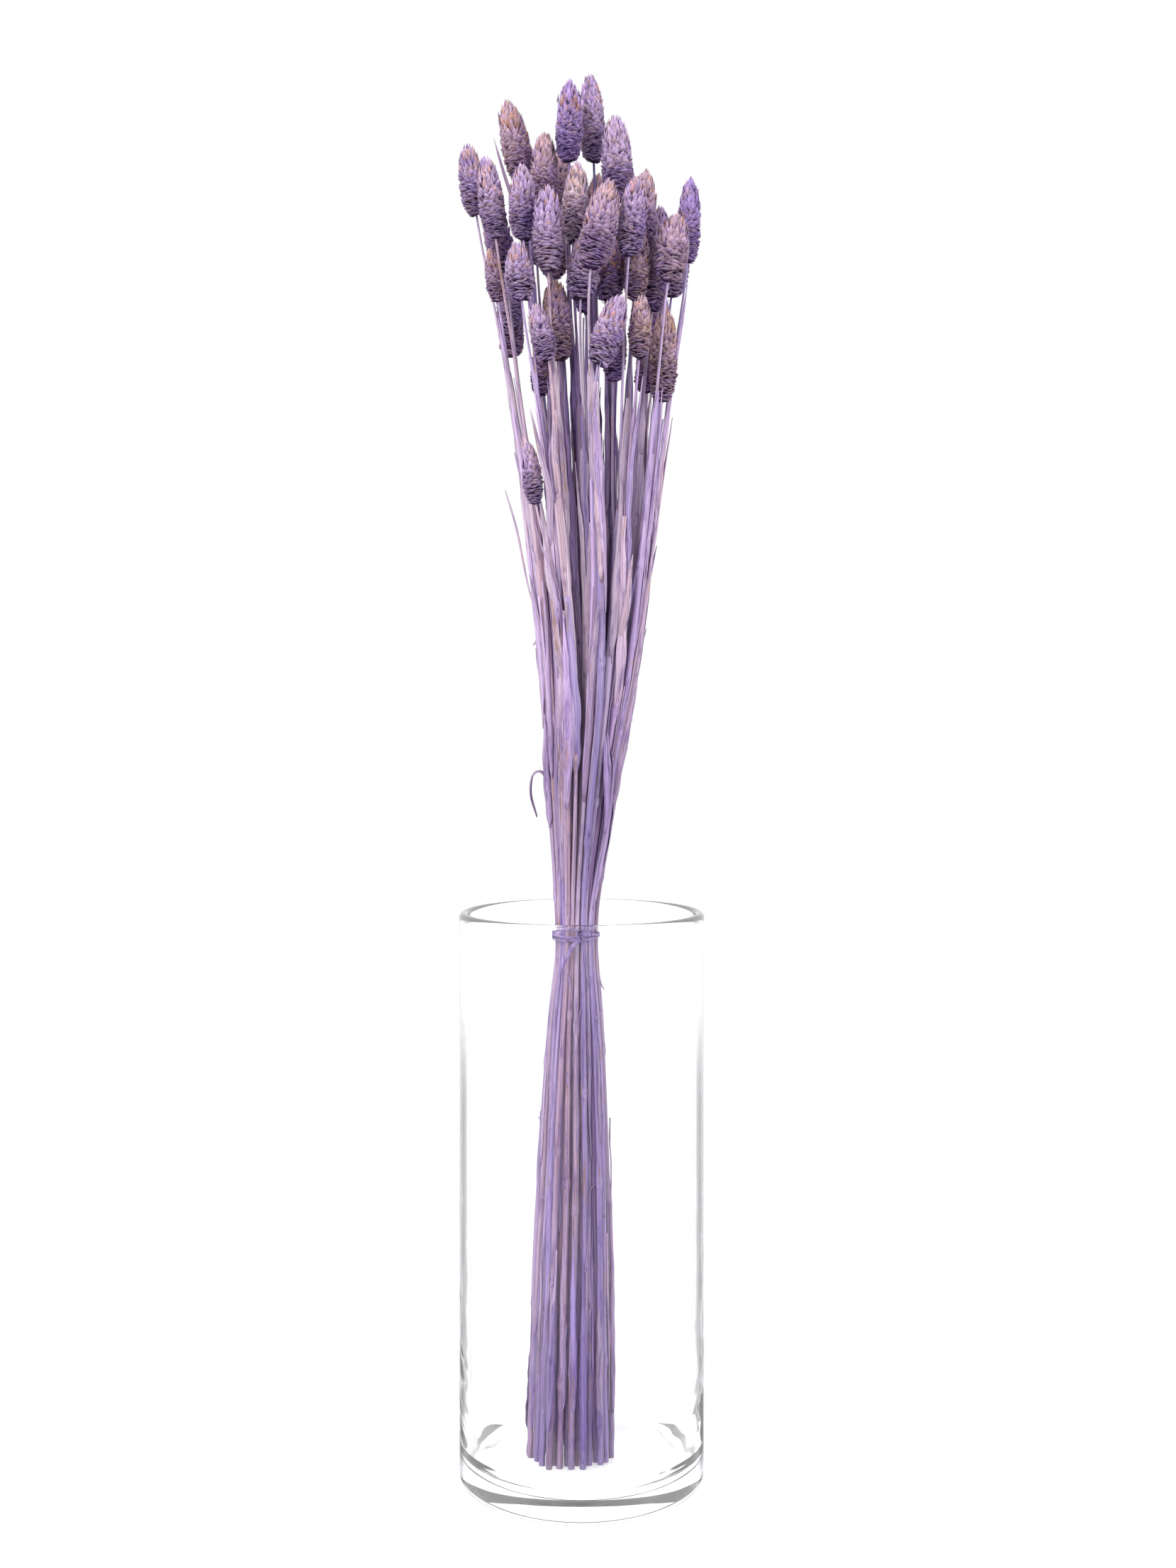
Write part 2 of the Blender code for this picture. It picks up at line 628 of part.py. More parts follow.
def main():
    clear_scene()
    build_vase()
    stems, blades = plan_bunch()
    materials = {tint: make_material(f"dried_grass_{tint}", TINTS[tint], 0.8) for tint in TINTS}
    at_curl = [np.interp(CURL_HEIGHT, stem.heights, stem.line[:, 0]) for stem in stems]
    leftmost = stems[int(np.argmin(at_curl))]
    for stem in stems:
        own = [blade for blade in blades if blade.stem is stem]
        build_stem(stem, own, materials[stem.tint], stem is leftmost)
    build_tie(stems)


main()
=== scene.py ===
"""Dried canary grass: the finish of a tied bunch of dyed seed heads in a clear glass vase.

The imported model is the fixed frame. Each stem, the binding and the vase are replaced by a
finer piece that runs where the solid runs: the plan of the stems below is the solids' own
plan, with the same sizes and the same seed, in millimetres.
"""

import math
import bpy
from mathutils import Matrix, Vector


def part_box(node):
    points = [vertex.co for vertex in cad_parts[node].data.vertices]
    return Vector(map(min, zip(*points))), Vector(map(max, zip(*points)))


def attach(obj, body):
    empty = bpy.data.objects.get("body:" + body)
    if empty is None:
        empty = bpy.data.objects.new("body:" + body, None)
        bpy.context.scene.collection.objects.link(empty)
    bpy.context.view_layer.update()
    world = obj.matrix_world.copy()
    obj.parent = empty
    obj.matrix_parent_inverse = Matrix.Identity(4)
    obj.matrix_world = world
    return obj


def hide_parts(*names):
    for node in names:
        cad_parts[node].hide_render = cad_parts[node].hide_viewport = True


bl_info = {
    "name": "Dried canary grass in a vase",
    "version": (1, 0, 0),
    "blender": (4, 5, 0),
    "location": "3D View > Sidebar > Dried grass",
    "description": "Builds a tied bunch of dyed canary grass standing in a clear glass vase",
    "category": "Add Mesh",
}

import bpy
import numpy as np
from mathutils import Vector

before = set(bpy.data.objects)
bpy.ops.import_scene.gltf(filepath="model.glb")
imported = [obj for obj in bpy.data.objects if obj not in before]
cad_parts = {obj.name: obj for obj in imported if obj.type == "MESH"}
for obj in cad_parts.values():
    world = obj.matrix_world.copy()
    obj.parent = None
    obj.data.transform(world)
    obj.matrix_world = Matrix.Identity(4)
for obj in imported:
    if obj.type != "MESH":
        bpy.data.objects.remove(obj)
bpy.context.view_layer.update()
MM = 0.001

# The bunch, as in the solids: its middle and spread at the binding and on the vase's floor
TIE_HEIGHT = 264.5
TIE_MIDDLE = (-2.8, 0.0)
FLOOR_MIDDLE = (-6.4, 0.0)
SPREAD_HEIGHTS = (10.0, 120.0, 225.0, 259.0)
SPREAD = (2.2, 1.87, 1.33, 1.0)
FLOOR_JITTER = 0.9
GAP = 0.3
VASE_BASE = 10.0

# Culm radii from the cut end to the head, and the sheath's mouth
CUT_RADIUS = 1.3
TIED_RADIUS = 1.1
MOUTH_RADII = (1.5, 2.2)
MOUTH_SHARES = (0.55, 0.86)
STALK_RADIUS = 0.7
NECK_RADIUS = 0.55
MOUTH_LENGTH = 9.0
TIED_SPAN = (259.0, 270.0)
RISE_STEPS = (0.2, 0.42, 0.62, 0.82)
FAN_CURVE = 1.15
SWAY = (2.0, 5.0, 4.5, 2.0)
# Some of a stem's eleven stations: the lower one in the binding, one well above it, neck and tip
TIED, FANNED, NECK, TIP = 3, 7, 9, 10

# The line of sight that the heads were measured along
VIEW_X = 3.1
VIEW_HEIGHT = 375.0
VIEW_DISTANCE = 876.0
CAMERA_SHIFT = -0.048

# Heads that show in front: neck x and z, tip x and z, width, depth along +Y, and tint.
# x and z are where the head shows against the upright plane through the vase's axis.
FRONT_HEADS = (
    (-49, 617, -56, 652, 13.9, 6, "lilac"),
    (-41, 605, -47, 646, 13.5, -20, "lilac"),
    (-30, 631, -38, 673, 15.6, 8, "mauve"),
    (-29, 604, -30, 642, 14.6, -24, "lilac"),
    (-17, 618, -16, 658, 14.9, -4, "mauve"),
    (-8, 642, -6, 683, 13.9, -8, "violet"),
    (-4, 603, -2, 643, 14.2, -16, "pale"),
    (-18, 589, -17, 632, 16.0, -36, "lilac"),
    (6, 642, 4, 686, 13.9, 8, "lilac"),
    (18, 623, 16, 666, 16.6, -6, "lilac"),
    (5, 590, 14, 634, 18.0, -44, "mauve"),
    (24, 596, 27, 636, 14.6, -34, "lilac"),
    (33, 599, 32, 639, 13.9, -10, "mauve"),
    (-1, 575, 3, 609, 16.6, -26, "lilac"),
    (50, 593, 53, 635, 12.5, 4, "violet"),
    (42, 584, 47, 618, 17.3, -24, "mauve"),
    (39, 577, 41, 621, 14.6, 6, "lilac"),
    (32, 569, 36, 606, 12.5, -8, "dark"),
    (26, 574, 29, 611, 12.5, -20, "tan"),
    (14, 573, 16, 607, 15.3, -10, "dark"),
    (7, 543, 19, 578, 15.3, -44, "lilac"),
    (26, 546, 28, 578, 11.8, -32, "tan"),
    (39, 525, 41, 572, 14.6, -14, "tan"),
    (33, 529, 34, 555, 11.8, 4, "dark"),
    (-11, 545, -13, 586, 16.0, -20, "tan"),
    (-18, 545, -25, 574, 12.1, -38, "lilac"),
    (-26, 575, -30, 604, 14.6, -38, "lilac"),
    (-41, 574, -45, 601, 9.7, -12, "mauve"),
    (-38, 588, -48, 623, 14.6, 4, "dark"),
    (-17, 528, -13, 564, 12.5, -4, "dark"),
    (16, 535, 18, 566, 11.8, -24, "dark"),
    (-18, 475, -24, 506, 10.1, -30, "lilac"),
    (11, 385, 11, 415, 7.6, -14, "dark"),
)

# Heads behind them, as rows: depth, number, middle neck height
BACK_ROWS = ((19.0, 6, 600.0), (38.0, 5, 585.0))
BACK_HALF_WIDTH = 44.0
BACK_HEAD_LENGTH = 39.0
BACK_HEAD_WIDTH = 14.5

# Stems without a head, and cut ends that stop above the vase's floor
PLAIN_STEMS = 12
PLAIN_TOPS = (395.0, 515.0)
PLAIN_FAN = 0.12
TOP_TAPER = 4.0
RAISED_ENDS = {7: 47.0, 30: 47.0, 45: 87.0}

# Leaf blades on the outer stems
BLADE_FAN = 0.085
BLADE_EVERY = 2
BLADE_ROOTS = (330.0, 450.0)
BLADE_LENGTHS = (42.0, 74.0)
BLADE_LEANS = (0.10, 0.17)
BLADE_BREADTHS = (3.2, 5.2)
BLADE_ROOT_DEPTH = 8.0
BLADE_STEPS = (0.0, 0.16, 0.45, 0.75, 1.0)
BLADE_WIDTHS = (0.45, 0.8, 1.0, 0.7, 0.22)
PLACED_BLADES = {
    3: (584.0, 74.0, 0.10, 2.6),
    15: (312.0, 44.0, 0.10, 3.4),
    17: (392.0, 40.0, 0.12, 4.4),
}
CURL_HEIGHT = 331.0
CURL_POINTS = ((0.0, -6.0), (0.8, 6.0), (4.5, 13.0), (8.5, 11.0), (9.5, 2.0), (6.5, -9.0))
CURL_WIDTHS = (1.6, 3.4, 3.6, 3.0, 2.4, 1.0)

# The binding
CORD_WIDTH = 1.7
CORD_TURNS = 3
END_POINTS = ((-80.0, 0.2, 0.0), (-100.0, 0.9, -5.0), (-116.0, 1.9, -13.0))

# Settling the stems
LEVELS = np.arange(276.0, 700.0, 6.0)
SETTLE_ROUNDS = 420
PULL_ROUNDS = 240
PULL = 0.03
PUSH = 1.25
HEAD_MARGIN = 0.5
BLADE_MARGIN = 0.3
KIN_REACH = 14.0
SCALE_PITCH = 5.0
SEED = 41


def tie_seats(count):
    """Places for the stems in the binding: the points of a triangular lattice nearest its middle."""
    pitch = 2 * TIED_RADIUS + GAP
    reach = range(-count, count + 1)
    seats = [((a + 0.5 * b) * pitch, b * pitch * math.sqrt(0.75)) for a in reach for b in reach]
    seats = np.array(seats) + (0.31 * pitch, 0.17 * pitch)
    return seats[np.argsort(np.linalg.norm(seats, axis=1), kind="stable")[:count]]


def along_sight(x, y, z):
    """Moves a point that shows at (x, z) against the vase's axis to the depth y."""
    nearer = (VIEW_DISTANCE + y) / VIEW_DISTANCE
    return VIEW_X + (x - VIEW_X) * nearer, y, VIEW_HEIGHT + (z - VIEW_HEIGHT) * nearer


def list_heads(random):
    """Every head as (neck, tip, width, tint): those in front as measured, those behind by rows."""
    heads = []
    for neck_x, neck_z, tip_x, tip_z, width, depth, tint in FRONT_HEADS:
        neck, tip = along_sight(neck_x, depth, neck_z), along_sight(tip_x, depth, tip_z)
        heads.append((np.array(neck), np.array(tip), width, tint))
    for depth, count, height in BACK_ROWS:
        for place in np.linspace(-1, 1, count):
            x = place * BACK_HALF_WIDTH * (1.0 - depth / 160.0) + random.uniform(-4, 4)
            y = depth + random.uniform(-5, 5)
            z = height - 22.0 * place * place + random.uniform(-18, 18)
            length = BACK_HEAD_LENGTH + random.uniform(-6, 4)
            neck = np.array((x, y, z))
            tip = neck + length * np.array((0.12 * place + random.uniform(-0.05, 0.05), 0.09, 1.0))
            tint = random.choice(("lilac", "mauve", "dark", "tan"))
            heads.append((neck, tip, BACK_HEAD_WIDTH + random.uniform(-2.5, 1.5), str(tint)))
    return heads


def list_tops(random):
    """Tops of the stems that have no head, spread evenly over the inner part of the fan."""
    tops = []
    for number in range(PLAIN_STEMS):
        angle = number * 2.4
        slope = PLAIN_FAN * math.sqrt((number + 0.5) / PLAIN_STEMS)
        height = random.uniform(*PLAIN_TOPS)
        rise = height - TIE_HEIGHT
        neck = np.array((slope * math.cos(angle) * rise, slope * math.sin(angle) * rise, height))
        neck[:2] += TIE_MIDDLE
        tip = neck + TOP_TAPER * np.array((slope * math.cos(angle), slope * math.sin(angle), 1.0))
        tops.append((neck, tip, 0.0, "stem"))
    return tops


def pair_up(fans, seats):
    """Seats in the order of the stems, swapped by pairs until the stems fan out without crossing."""
    order = list(range(len(fans)))
    swapped = True
    while swapped:
        swapped = False
        for a in range(len(fans)):
            for b in range(a):
                gain = (fans[a] - fans[b]) @ (seats[order[b]] - seats[order[a]])
                if gain > 1e-6:
                    order[a], order[b] = order[b], order[a]
                    swapped = True
    return seats[order]


def head_swell(share):
    """Half width of a head at a share of its length: blunt at both ends, widest at two fifths."""
    return np.sin(math.pi * (0.1 + 0.86 * np.clip(share, 0, 1)) ** 0.8) ** 0.6


class Stem:
    """One stem: the heights of its stations, where it is aimed there, and its thickness."""

    def __init__(self, number, neck, tip, width, tint, seat, random):
        self.number, self.width, self.tint = number, width, tint
        self.foot = RAISED_ENDS.get(number, VASE_BASE + GAP)
        rise = neck[2] - TIED_SPAN[1]
        climb = [TIED_SPAN[1] + share * rise for share in RISE_STEPS]
        below = [self.foot, max(SPREAD_HEIGHTS[1], self.foot + 20), SPREAD_HEIGHTS[2]]
        self.heights = np.array([*below, *TIED_SPAN, *climb, neck[2], tip[2]])
        self.mouth = TIED_SPAN[1] + rise * random.uniform(*MOUTH_SHARES)
        self.sheath = random.uniform(*MOUTH_RADII)
        if number in PLACED_BLADES:
            self.mouth = PLACED_BLADES[number][0]
        tied = seat + TIE_MIDDLE
        self.aim = np.array([tied] * len(self.heights))
        spread = np.interp(self.heights[:3], SPREAD_HEIGHTS, SPREAD)
        sunk = (TIED_SPAN[0] - self.heights[:3]) / (TIED_SPAN[0] - SPREAD_HEIGHTS[0])
        jitter = random.uniform(-FLOOR_JITTER, FLOOR_JITTER, 2)
        drift = np.subtract(FLOOR_MIDDLE, TIE_MIDDLE) + jitter
        self.aim[:3] = seat * spread[:, None] + TIE_MIDDLE + sunk[:, None] * drift
        shares = np.array(RISE_STEPS)[:, None] ** FAN_CURVE
        self.aim[5:9] = tied + (neck[:2] - tied) * shares
        self.aim[5:9, 0] += SWAY
        self.aim[NECK], self.aim[TIP] = neck[:2], tip[:2]

    def radius(self, height):
        """The culm's radius by height, up to the neck."""
        knots = (self.foot, *TIED_SPAN, self.mouth, self.mouth + MOUTH_LENGTH, self.heights[NECK])
        radii = (CUT_RADIUS, TIED_RADIUS, TIED_RADIUS, self.sheath, STALK_RADIUS, NECK_RADIUS)
        return np.interp(height, knots, radii)

    def reach(self, height):
        """How far the stem or its head stands out from its line at each height."""
        neck, tip = self.heights[NECK:]
        head = self.width / 2 * head_swell((height - neck) / (tip - neck)) + HEAD_MARGIN
        if self.width == 0:
            return self.radius(height)
        return np.where(height < neck - SCALE_PITCH / 4, self.radius(height), head)


class Blade:
    """One leaf blade, aimed up and out from its stem."""

    def __init__(self, stem, root, length, lean, breadth):
        self.stem, self.breadth = stem, breadth
        self.heights = root + length * np.array(BLADE_STEPS)
        host = self.host_line(stem.aim)
        outward = host[-1] - TIE_MIDDLE
        outward /= np.linalg.norm(outward)
        self.aim = host + outward * (length * lean * np.array(BLADE_STEPS)[:, None] ** 1.2)

    def host_line(self, stations):
        """Where the stem runs at the blade's heights."""
        sides = [np.interp(self.heights, self.stem.heights, stations[:, axis]) for axis in (0, 1)]
        return np.stack(sides, axis=1)

    def reach(self, height):
        """How far the blade stands out from its line at each height."""
        shares = (height - self.heights[0]) / (self.heights[-1] - self.heights[0])
        return self.breadth / 2 * np.interp(shares, BLADE_STEPS, BLADE_WIDTHS) + BLADE_MARGIN


def settle(stems, blades):
    """Pushes the stations of stems and blades sideways until their discs at each level stand apart.

    A line is straight between its stations, so the discs at a level move with the stations by
    their share there. A station takes the mean of the pushes that reach it. The binding's
    stations and those below it stay, and a blade's lowest station stays on its stem.
    """
    lines = [*stems, *blades]
    most = max(len(line.heights) for line in lines)
    weights = np.zeros((len(lines), len(LEVELS), most))
    at = np.zeros((len(lines), most, 2))
    free = np.zeros((len(lines), most, 1))
    for row, line in enumerate(lines):
        for column, unit in enumerate(np.eye(len(line.heights))):
            weights[row, :, column] = np.interp(LEVELS, line.heights, unit, left=0, right=0)
        at[row, : len(line.heights)] = line.aim
        free[row, 5 if row < len(stems) else 1 : len(line.heights)] = 1
    there = (weights.sum(2) > 0).T
    reach = np.stack([line.reach(LEVELS) for line in lines], axis=1)
    wanted = (reach[:, :, None] + reach[:, None] + GAP) * (there[:, :, None] & there[:, None])
    wanted[:, range(len(lines)), range(len(lines))] = 0
    for row, blade in enumerate(blades, start=len(stems)):
        host = stems.index(blade.stem)
        near = LEVELS < blade.heights[0] + KIN_REACH
        wanted[near, row, host] = wanted[near, host, row] = 0
    share = weights / np.maximum((weights**2).sum(2, keepdims=True), 1e-9)
    aim = at.copy()
    for step in range(SETTLE_ROUNDS):
        points = np.einsum("mks,msc->kmc", weights, at)
        apart = points[:, :, None] - points[:, None]
        distance = np.maximum(np.linalg.norm(apart, axis=3), 1e-6)
        short = np.clip(wanted - distance, 0, None)
        push = (apart * (short / distance / 2)[..., None]).sum(2)
        touched = (short > 0).any(2).astype(float)
        moved = np.einsum("mks,kmc->msc", share, push)
        heard = np.einsum("mks,km->ms", weights, touched)[..., None]
        at += free * PUSH * moved / np.maximum(heard, 1.0)
        if step < PULL_ROUNDS:
            at += free * PULL * (aim - at)
        for row, blade in enumerate(blades, start=len(stems)):
            host = at[stems.index(blade.stem)][: len(blade.stem.heights)]
            at[row, 0] = blade.host_line(host)[0]
    for row, line in enumerate(lines):
        line.line = at[row, : len(line.heights)]


def plan_bunch():
    """All stems and blades, settled."""
    random = np.random.default_rng(SEED)
    members = list_heads(random) + list_tops(random)
    fans = np.array([(neck[:2] - TIE_MIDDLE) / (neck[2] - TIE_HEIGHT) for neck, *_ in members])
    seats = pair_up(fans, tie_seats(len(members)))
    stems = [
        Stem(number, *member, seat, random)
        for number, (member, seat) in enumerate(zip(members, seats), start=1)
    ]
    outer = [stem for stem, fan in zip(stems, fans) if np.linalg.norm(fan) > BLADE_FAN]
    blades = [Blade(stems[number - 1], *place) for number, place in PLACED_BLADES.items()]
    for stem in outer[::BLADE_EVERY]:
        root = min(random.uniform(*BLADE_ROOTS), stem.mouth)
        shape = [random.uniform(*span) for span in (BLADE_LENGTHS, BLADE_LEANS, BLADE_BREADTHS)]
        if stem.number not in PLACED_BLADES:
            blades.append(Blade(stem, root, *shape))
    settle(stems, blades)
    return stems, blades


def linear(code):
    """Six sRGB hex digits as the three linear values that a shader takes."""
    parts = [int(code[place : place + 2], 16) / 255 for place in (0, 2, 4)]
    return tuple(p / 12.92 if p <= 0.04045 else ((p + 0.055) / 1.055) ** 2.4 for p in parts)


# What the dye left on each kind of head, and how much undyed straw shows through
DYES = {
    "lilac": (linear("cbb0d6"), 0.22),
    "mauve": (linear("cbaac0"), 0.36),
    "violet": (linear("b396d2"), 0.10),
    "pale": (linear("dcc4d8"), 0.50),
    "dark": (linear("9d7ca8"), 0.28),
    "tan": (linear("c8a6b2"), 0.55),
}
# Dyes of the culms and leaves, from blue-violet to straw that took little of it
CULM_DYES = np.array(
    [linear(code) for code in ("d6bbe4", "e4c7df", "e7c9d3", "c1acdf", "d9bcea", "dec9d7")]
)
# Painted shade by height, as the share of light the stems keep: painted darkest in the vase, lightest
# over the middle of the stems
PAINTED_SHADE_HEIGHTS = (10.0, 38.0, 97.0, 167.0, 229.0, 262.0, 299.0, 349.0, 395.0, 453.0, 520.0)
PAINTED_LIGHT_LEVELS = (0.16, 0.19, 0.34, 0.31, 0.36, 0.49, 0.42, 0.41, 0.63, 0.74, 0.67)
VIOLET = np.array(linear("7e60b0"))
STRAW = np.array(linear("d0a873"))
RUST = np.array(linear("c88a48"))
# Painted shade in the crevices of a head: the colour of its core and of its husks' roots
CREVICE_SHADE = linear("3a2248")
# Pale edge of the husks: partly dry wear, partly painted highlight
EDGE_WEAR_AND_HIGHLIGHT = linear("c8b8d2")

# A head's outline over its solid: half width by share of the length, blunt towards its spiky top
OUTLINE_SHARES = (0.0, 0.06, 0.15, 0.3, 0.45, 0.6, 0.75, 0.87, 0.95, 1.0, 1.03)
OUTLINE = (0.48, 0.70, 0.87, 0.98, 1.0, 0.97, 0.86, 0.69, 0.48, 0.27, 0.08)

# Culms: ring spacing, how much clinging sheath adds low down, where and how joints stand, and
# how far apart the stems lie in the straw's grain, so that no two look alike
RING_STEP = 3.1
FOOT_SWELL = 0.22
FOOT_SWELL_SPAN = (120.0, 235.0)
FIRST_JOINT = (20, 90)
JOINT_SPACING = (75, 130)
JOINT_BUMP = 0.5
JOINT_WIDTH = 2.4
JOINT_SHEATH = 0.14
JOINT_SHEATH_LENGTH = 45.0
GRAIN_APART = 90.0

# Loose sheath over the binding, at the cut end, low on outer stems, and as thin fibres: heights
# of the roots (over the cut end for those at it), lengths, widths, how far the tips stand off
STRIP_ROOTS, STRIP_LENGTHS, STRIP_WIDTHS, STRIP_LIFTS = (276, 480), (55, 150), (1.8, 5.2), (0.1, 3.0)
FOOT_ROOTS, FOOT_LENGTHS, FOOT_WIDTHS, FOOT_LIFTS = (0.5, 30), (40, 110), (2.2, 4.2), (0, 0.6)
LOW_ROOTS, LOW_LENGTHS, LOW_WIDTHS, LOW_LIFTS = (30, 170), (30, 80), (1.0, 2.2), (0.0, 0.7)
FIBRE_ROOTS, FIBRE_LENGTHS, FIBRE_WIDTH, FIBRE_LIFTS = (380, 480), (60, 150), 0.7, (1, 4)
# Heights of torn bits, and how far from the binding's middle an outer stem stands there
TORN_SPANS = ((212, 255), (275, 420), (60, 200))
OUTER_SEAT = 6.0

# Husks at the foot of a head and at its top: row spacing, places round it, rise in degrees,
# length and width, for a head 15 mm across
COMMON_HEAD = 15.0
HUSK_ROWS = (0.93, 1.30)
HUSK_PLACES = (3.9, 2.1)
HUSK_RISES = (6.0, 82.0)
HUSK_LENGTHS = (4.6, 6.6)
HUSK_WIDTHS = (4.9, 2.3)
CROWDING = (0.4, 0.95)

# Glass: columns round the wall, depths and fade of its waves, and light let straight through
VASE_COLUMNS = 160
BROAD_WAVES = 0.008
FINE_WAVES = 0.0022
WAVE_FADE = 40.0
STRAIGHT_THROUGH = 0.04

CULM, LEAF, HUSK = 0, 1, 2


def capped(rings):
    """The rows of rings as one list, with the mean of the first and of the last ring after them."""
    rows = rings.reshape(-1, *rings.shape[2:])
    return np.concatenate([rows, rings[:1].mean(1), rings[-1:].mean(1)])


def skin(rings):
    """A closed surface over rings of points, shape (rows, columns, 3), with a fan over each end."""
    rows, columns = rings.shape[:2]
    row, column = np.meshgrid(np.arange(rows - 1), np.arange(columns), indexing="ij")
    a, b = row * columns + column, row * columns + (column + 1) % columns
    c, d = b + columns, a + columns
    sides = np.stack([np.stack([a, b, c], -1), np.stack([a, c, d], -1)], 2).reshape(-1, 3)
    here = np.arange(columns)
    ahead = (here + 1) % columns
    top = (rows - 1) * columns
    low = np.stack([ahead, here, np.full(columns, rows * columns)], -1)
    high = np.stack([top + here, top + ahead, np.full(columns, rows * columns + 1)], -1)
    return capped(rings), np.concatenate([sides, low, high])


class Shapes:
    """Surfaces gathered for one piece, in millimetres, with what its materials read.

    Each point has a dye whose alpha is painted light, from 0 in painted shade to 1 where it is left
    lit; a shade, from 0 in painted shade in a crevice or at a dark joint to 1 at a pale edge that is
    partly dry wear and partly painted highlight; and its place in the grain: two distances across
    the fibres and one along them.
    """

    def __init__(self):
        self.points, self.faces, self.slots = [], [], []
        self.dyes, self.shades, self.grains = [], [], []
        self.count = 0

    def add(self, surface, slot=0, dye=(1.0, 1.0, 1.0), shade=0.6, grain=None, fade=1.0):
        """Adds a closed surface, turned to face outwards: its signed volume comes out above 0."""
        points, faces = surface
        corners = points[faces]
        if np.einsum("fi,fi->", corners[:, 0], np.cross(corners[:, 1], corners[:, 2])) < 0:
            faces = faces[:, ::-1]
        self.points.append(points)
        self.faces.append(faces + self.count)
        self.slots.append(np.full(len(faces), slot))
        dyes = np.broadcast_to(dye, (len(points), 3))
        self.dyes.append(np.column_stack([dyes, np.broadcast_to(fade, len(points))]))
        self.shades.append(np.broadcast_to(shade, len(points)))
        self.grains.append(points if grain is None else grain)
        self.count += len(points)

    def piece(self, name, materials):
        """The gathered surfaces as one object at the origin."""
        mesh = bpy.data.meshes.new(name)
        mesh.from_pydata(np.concatenate(self.points) * MM, [], np.concatenate(self.faces))
        mesh.polygons.foreach_set("material_index", np.concatenate(self.slots).astype(np.int32))
        for material in materials:
            mesh.materials.append(material)
        for label, kind, field, values in (
            ("dye", "FLOAT_COLOR", "color", np.concatenate(self.dyes)),
            ("shade", "FLOAT", "value", np.concatenate(self.shades)),
            ("grain", "FLOAT_VECTOR", "vector", np.concatenate(self.grains)),
        ):
            layer = mesh.attributes.new(label, kind, "POINT")
            layer.data.foreach_set(field, values.astype(np.float32).ravel())
        smooth_faces = np.concatenate(self.slots) != HUSK
        mesh.polygons.foreach_set("use_smooth", smooth_faces)
        thing = bpy.data.objects.new(name, mesh)
        bpy.context.scene.collection.objects.link(thing)
        return thing


def smooth(heights, values, at):
    """A smooth curve through the stations: Hermite cubics whose slopes are the local means."""
    slopes = np.gradient(values, heights, axis=0)
    place = np.clip(np.searchsorted(heights, at) - 1, 0, len(heights) - 2)
    step = (heights[place + 1] - heights[place])[:, None]
    t = ((at - heights[place])[:, None] / step).clip(0, 1)
    start, end = values[place], values[place + 1]
    rise = t * t * (3 - 2 * t)
    bow = t * (1 - t) ** 2 * slopes[place] - t * t * (1 - t) * slopes[place + 1]
    return start + (end - start) * rise + step * bow


def line_at(stem, heights):
    """The stem's smooth line at the heights, as points."""
    return np.column_stack([smooth(stem.heights, stem.line, heights), heights])


def ease(values, low, high):
    """0 below low, 1 above high, and smooth between them."""
    t = np.clip((values - low) / (high - low), 0, 1)
    return t * t * (3 - 2 * t)


def between(pair, share):
    """The value at a share of the way from the first to the second."""
    return pair[0] + (pair[1] - pair[0]) * share


def around(columns):
    """Angles of a ring's columns, and the unit vectors that point out from its middle there."""
    angles = 2 * math.pi * np.arange(columns) / columns
    return angles, np.stack([np.cos(angles), np.sin(angles), np.zeros(columns)], -1)


def strip(middles, sideways, widths, cup, thickness=0.3):
    """A leaf as a closed surface, and its grain: at each point of its line a thin cupped arc.

    The arc's points run across the width from -1 to 1, their height falls with the square of
    that, and the underside repeats them in the other direction, lower by the thickness.
    """
    ahead = np.gradient(middles, axis=0)
    normal = np.cross(sideways, ahead)
    normal /= np.linalg.norm(normal, axis=1, keepdims=True)
    over = np.linspace(-1, 1, 5)
    under = np.repeat((0.0, -thickness), len(over))
    over = np.concatenate([over, over[::-1]])
    rise = cup * widths[:, None] * (1 - over**2) + under
    wide = widths[:, None] / 2 * over
    rings = middles[:, None] + rise[..., None] * normal[:, None] + wide[..., None] * sideways[:, None]
    along = np.cumsum(np.linalg.norm(ahead, axis=1))[:, None] + 0 * wide
    return skin(rings), capped(np.stack([wide, rise, along + 9.0 * middles[0, 0]], -1))


def girth(stem, heights):
    """The drawn radius of a culm: the solid's, and a fifth more near its foot, where sheath clings."""
    return stem.radius(heights) * (1 + FOOT_SWELL * (1 - ease(heights, *FOOT_SWELL_SPAN)))


def tied_place(stem):
    """Where the stem stands in the binding, from the binding's middle."""
    return stem.line[TIED] - TIE_MIDDLE


def joint_relief(stem, heights, random):
    """What the joints add to a culm's radius and take from its shade, by height.

    A joint is a bump that falls off with the square of the distance from it. The dry sheath
    above it stands a little proud for a while, and starts with a dark line.
    """
    spacing = random.uniform(*FIRST_JOINT), random.uniform(*JOINT_SPACING, 4)
    joints = stem.foot + spacing[0] + np.cumsum([0, *spacing[1]])
    joints = joints[(joints < stem.mouth - 40) & (np.abs(joints - TIE_HEIGHT) > 12)]
    proud, dark = np.zeros((2, len(heights)))
    for joint in joints:
        nearest = heights[np.argmin(np.abs(heights - joint))]
        end = nearest + JOINT_SHEATH_LENGTH
        proud += JOINT_BUMP * np.exp(-(((heights - nearest) / JOINT_WIDTH) ** 2))
        covered = ease(heights, nearest, nearest + 3) * (1 - ease(heights, end, end + 3))
        proud += JOINT_SHEATH * covered
        dark += 0.22 * np.exp(-(((heights - nearest - RING_STEP) / 1.8) ** 2))
    return proud, dark


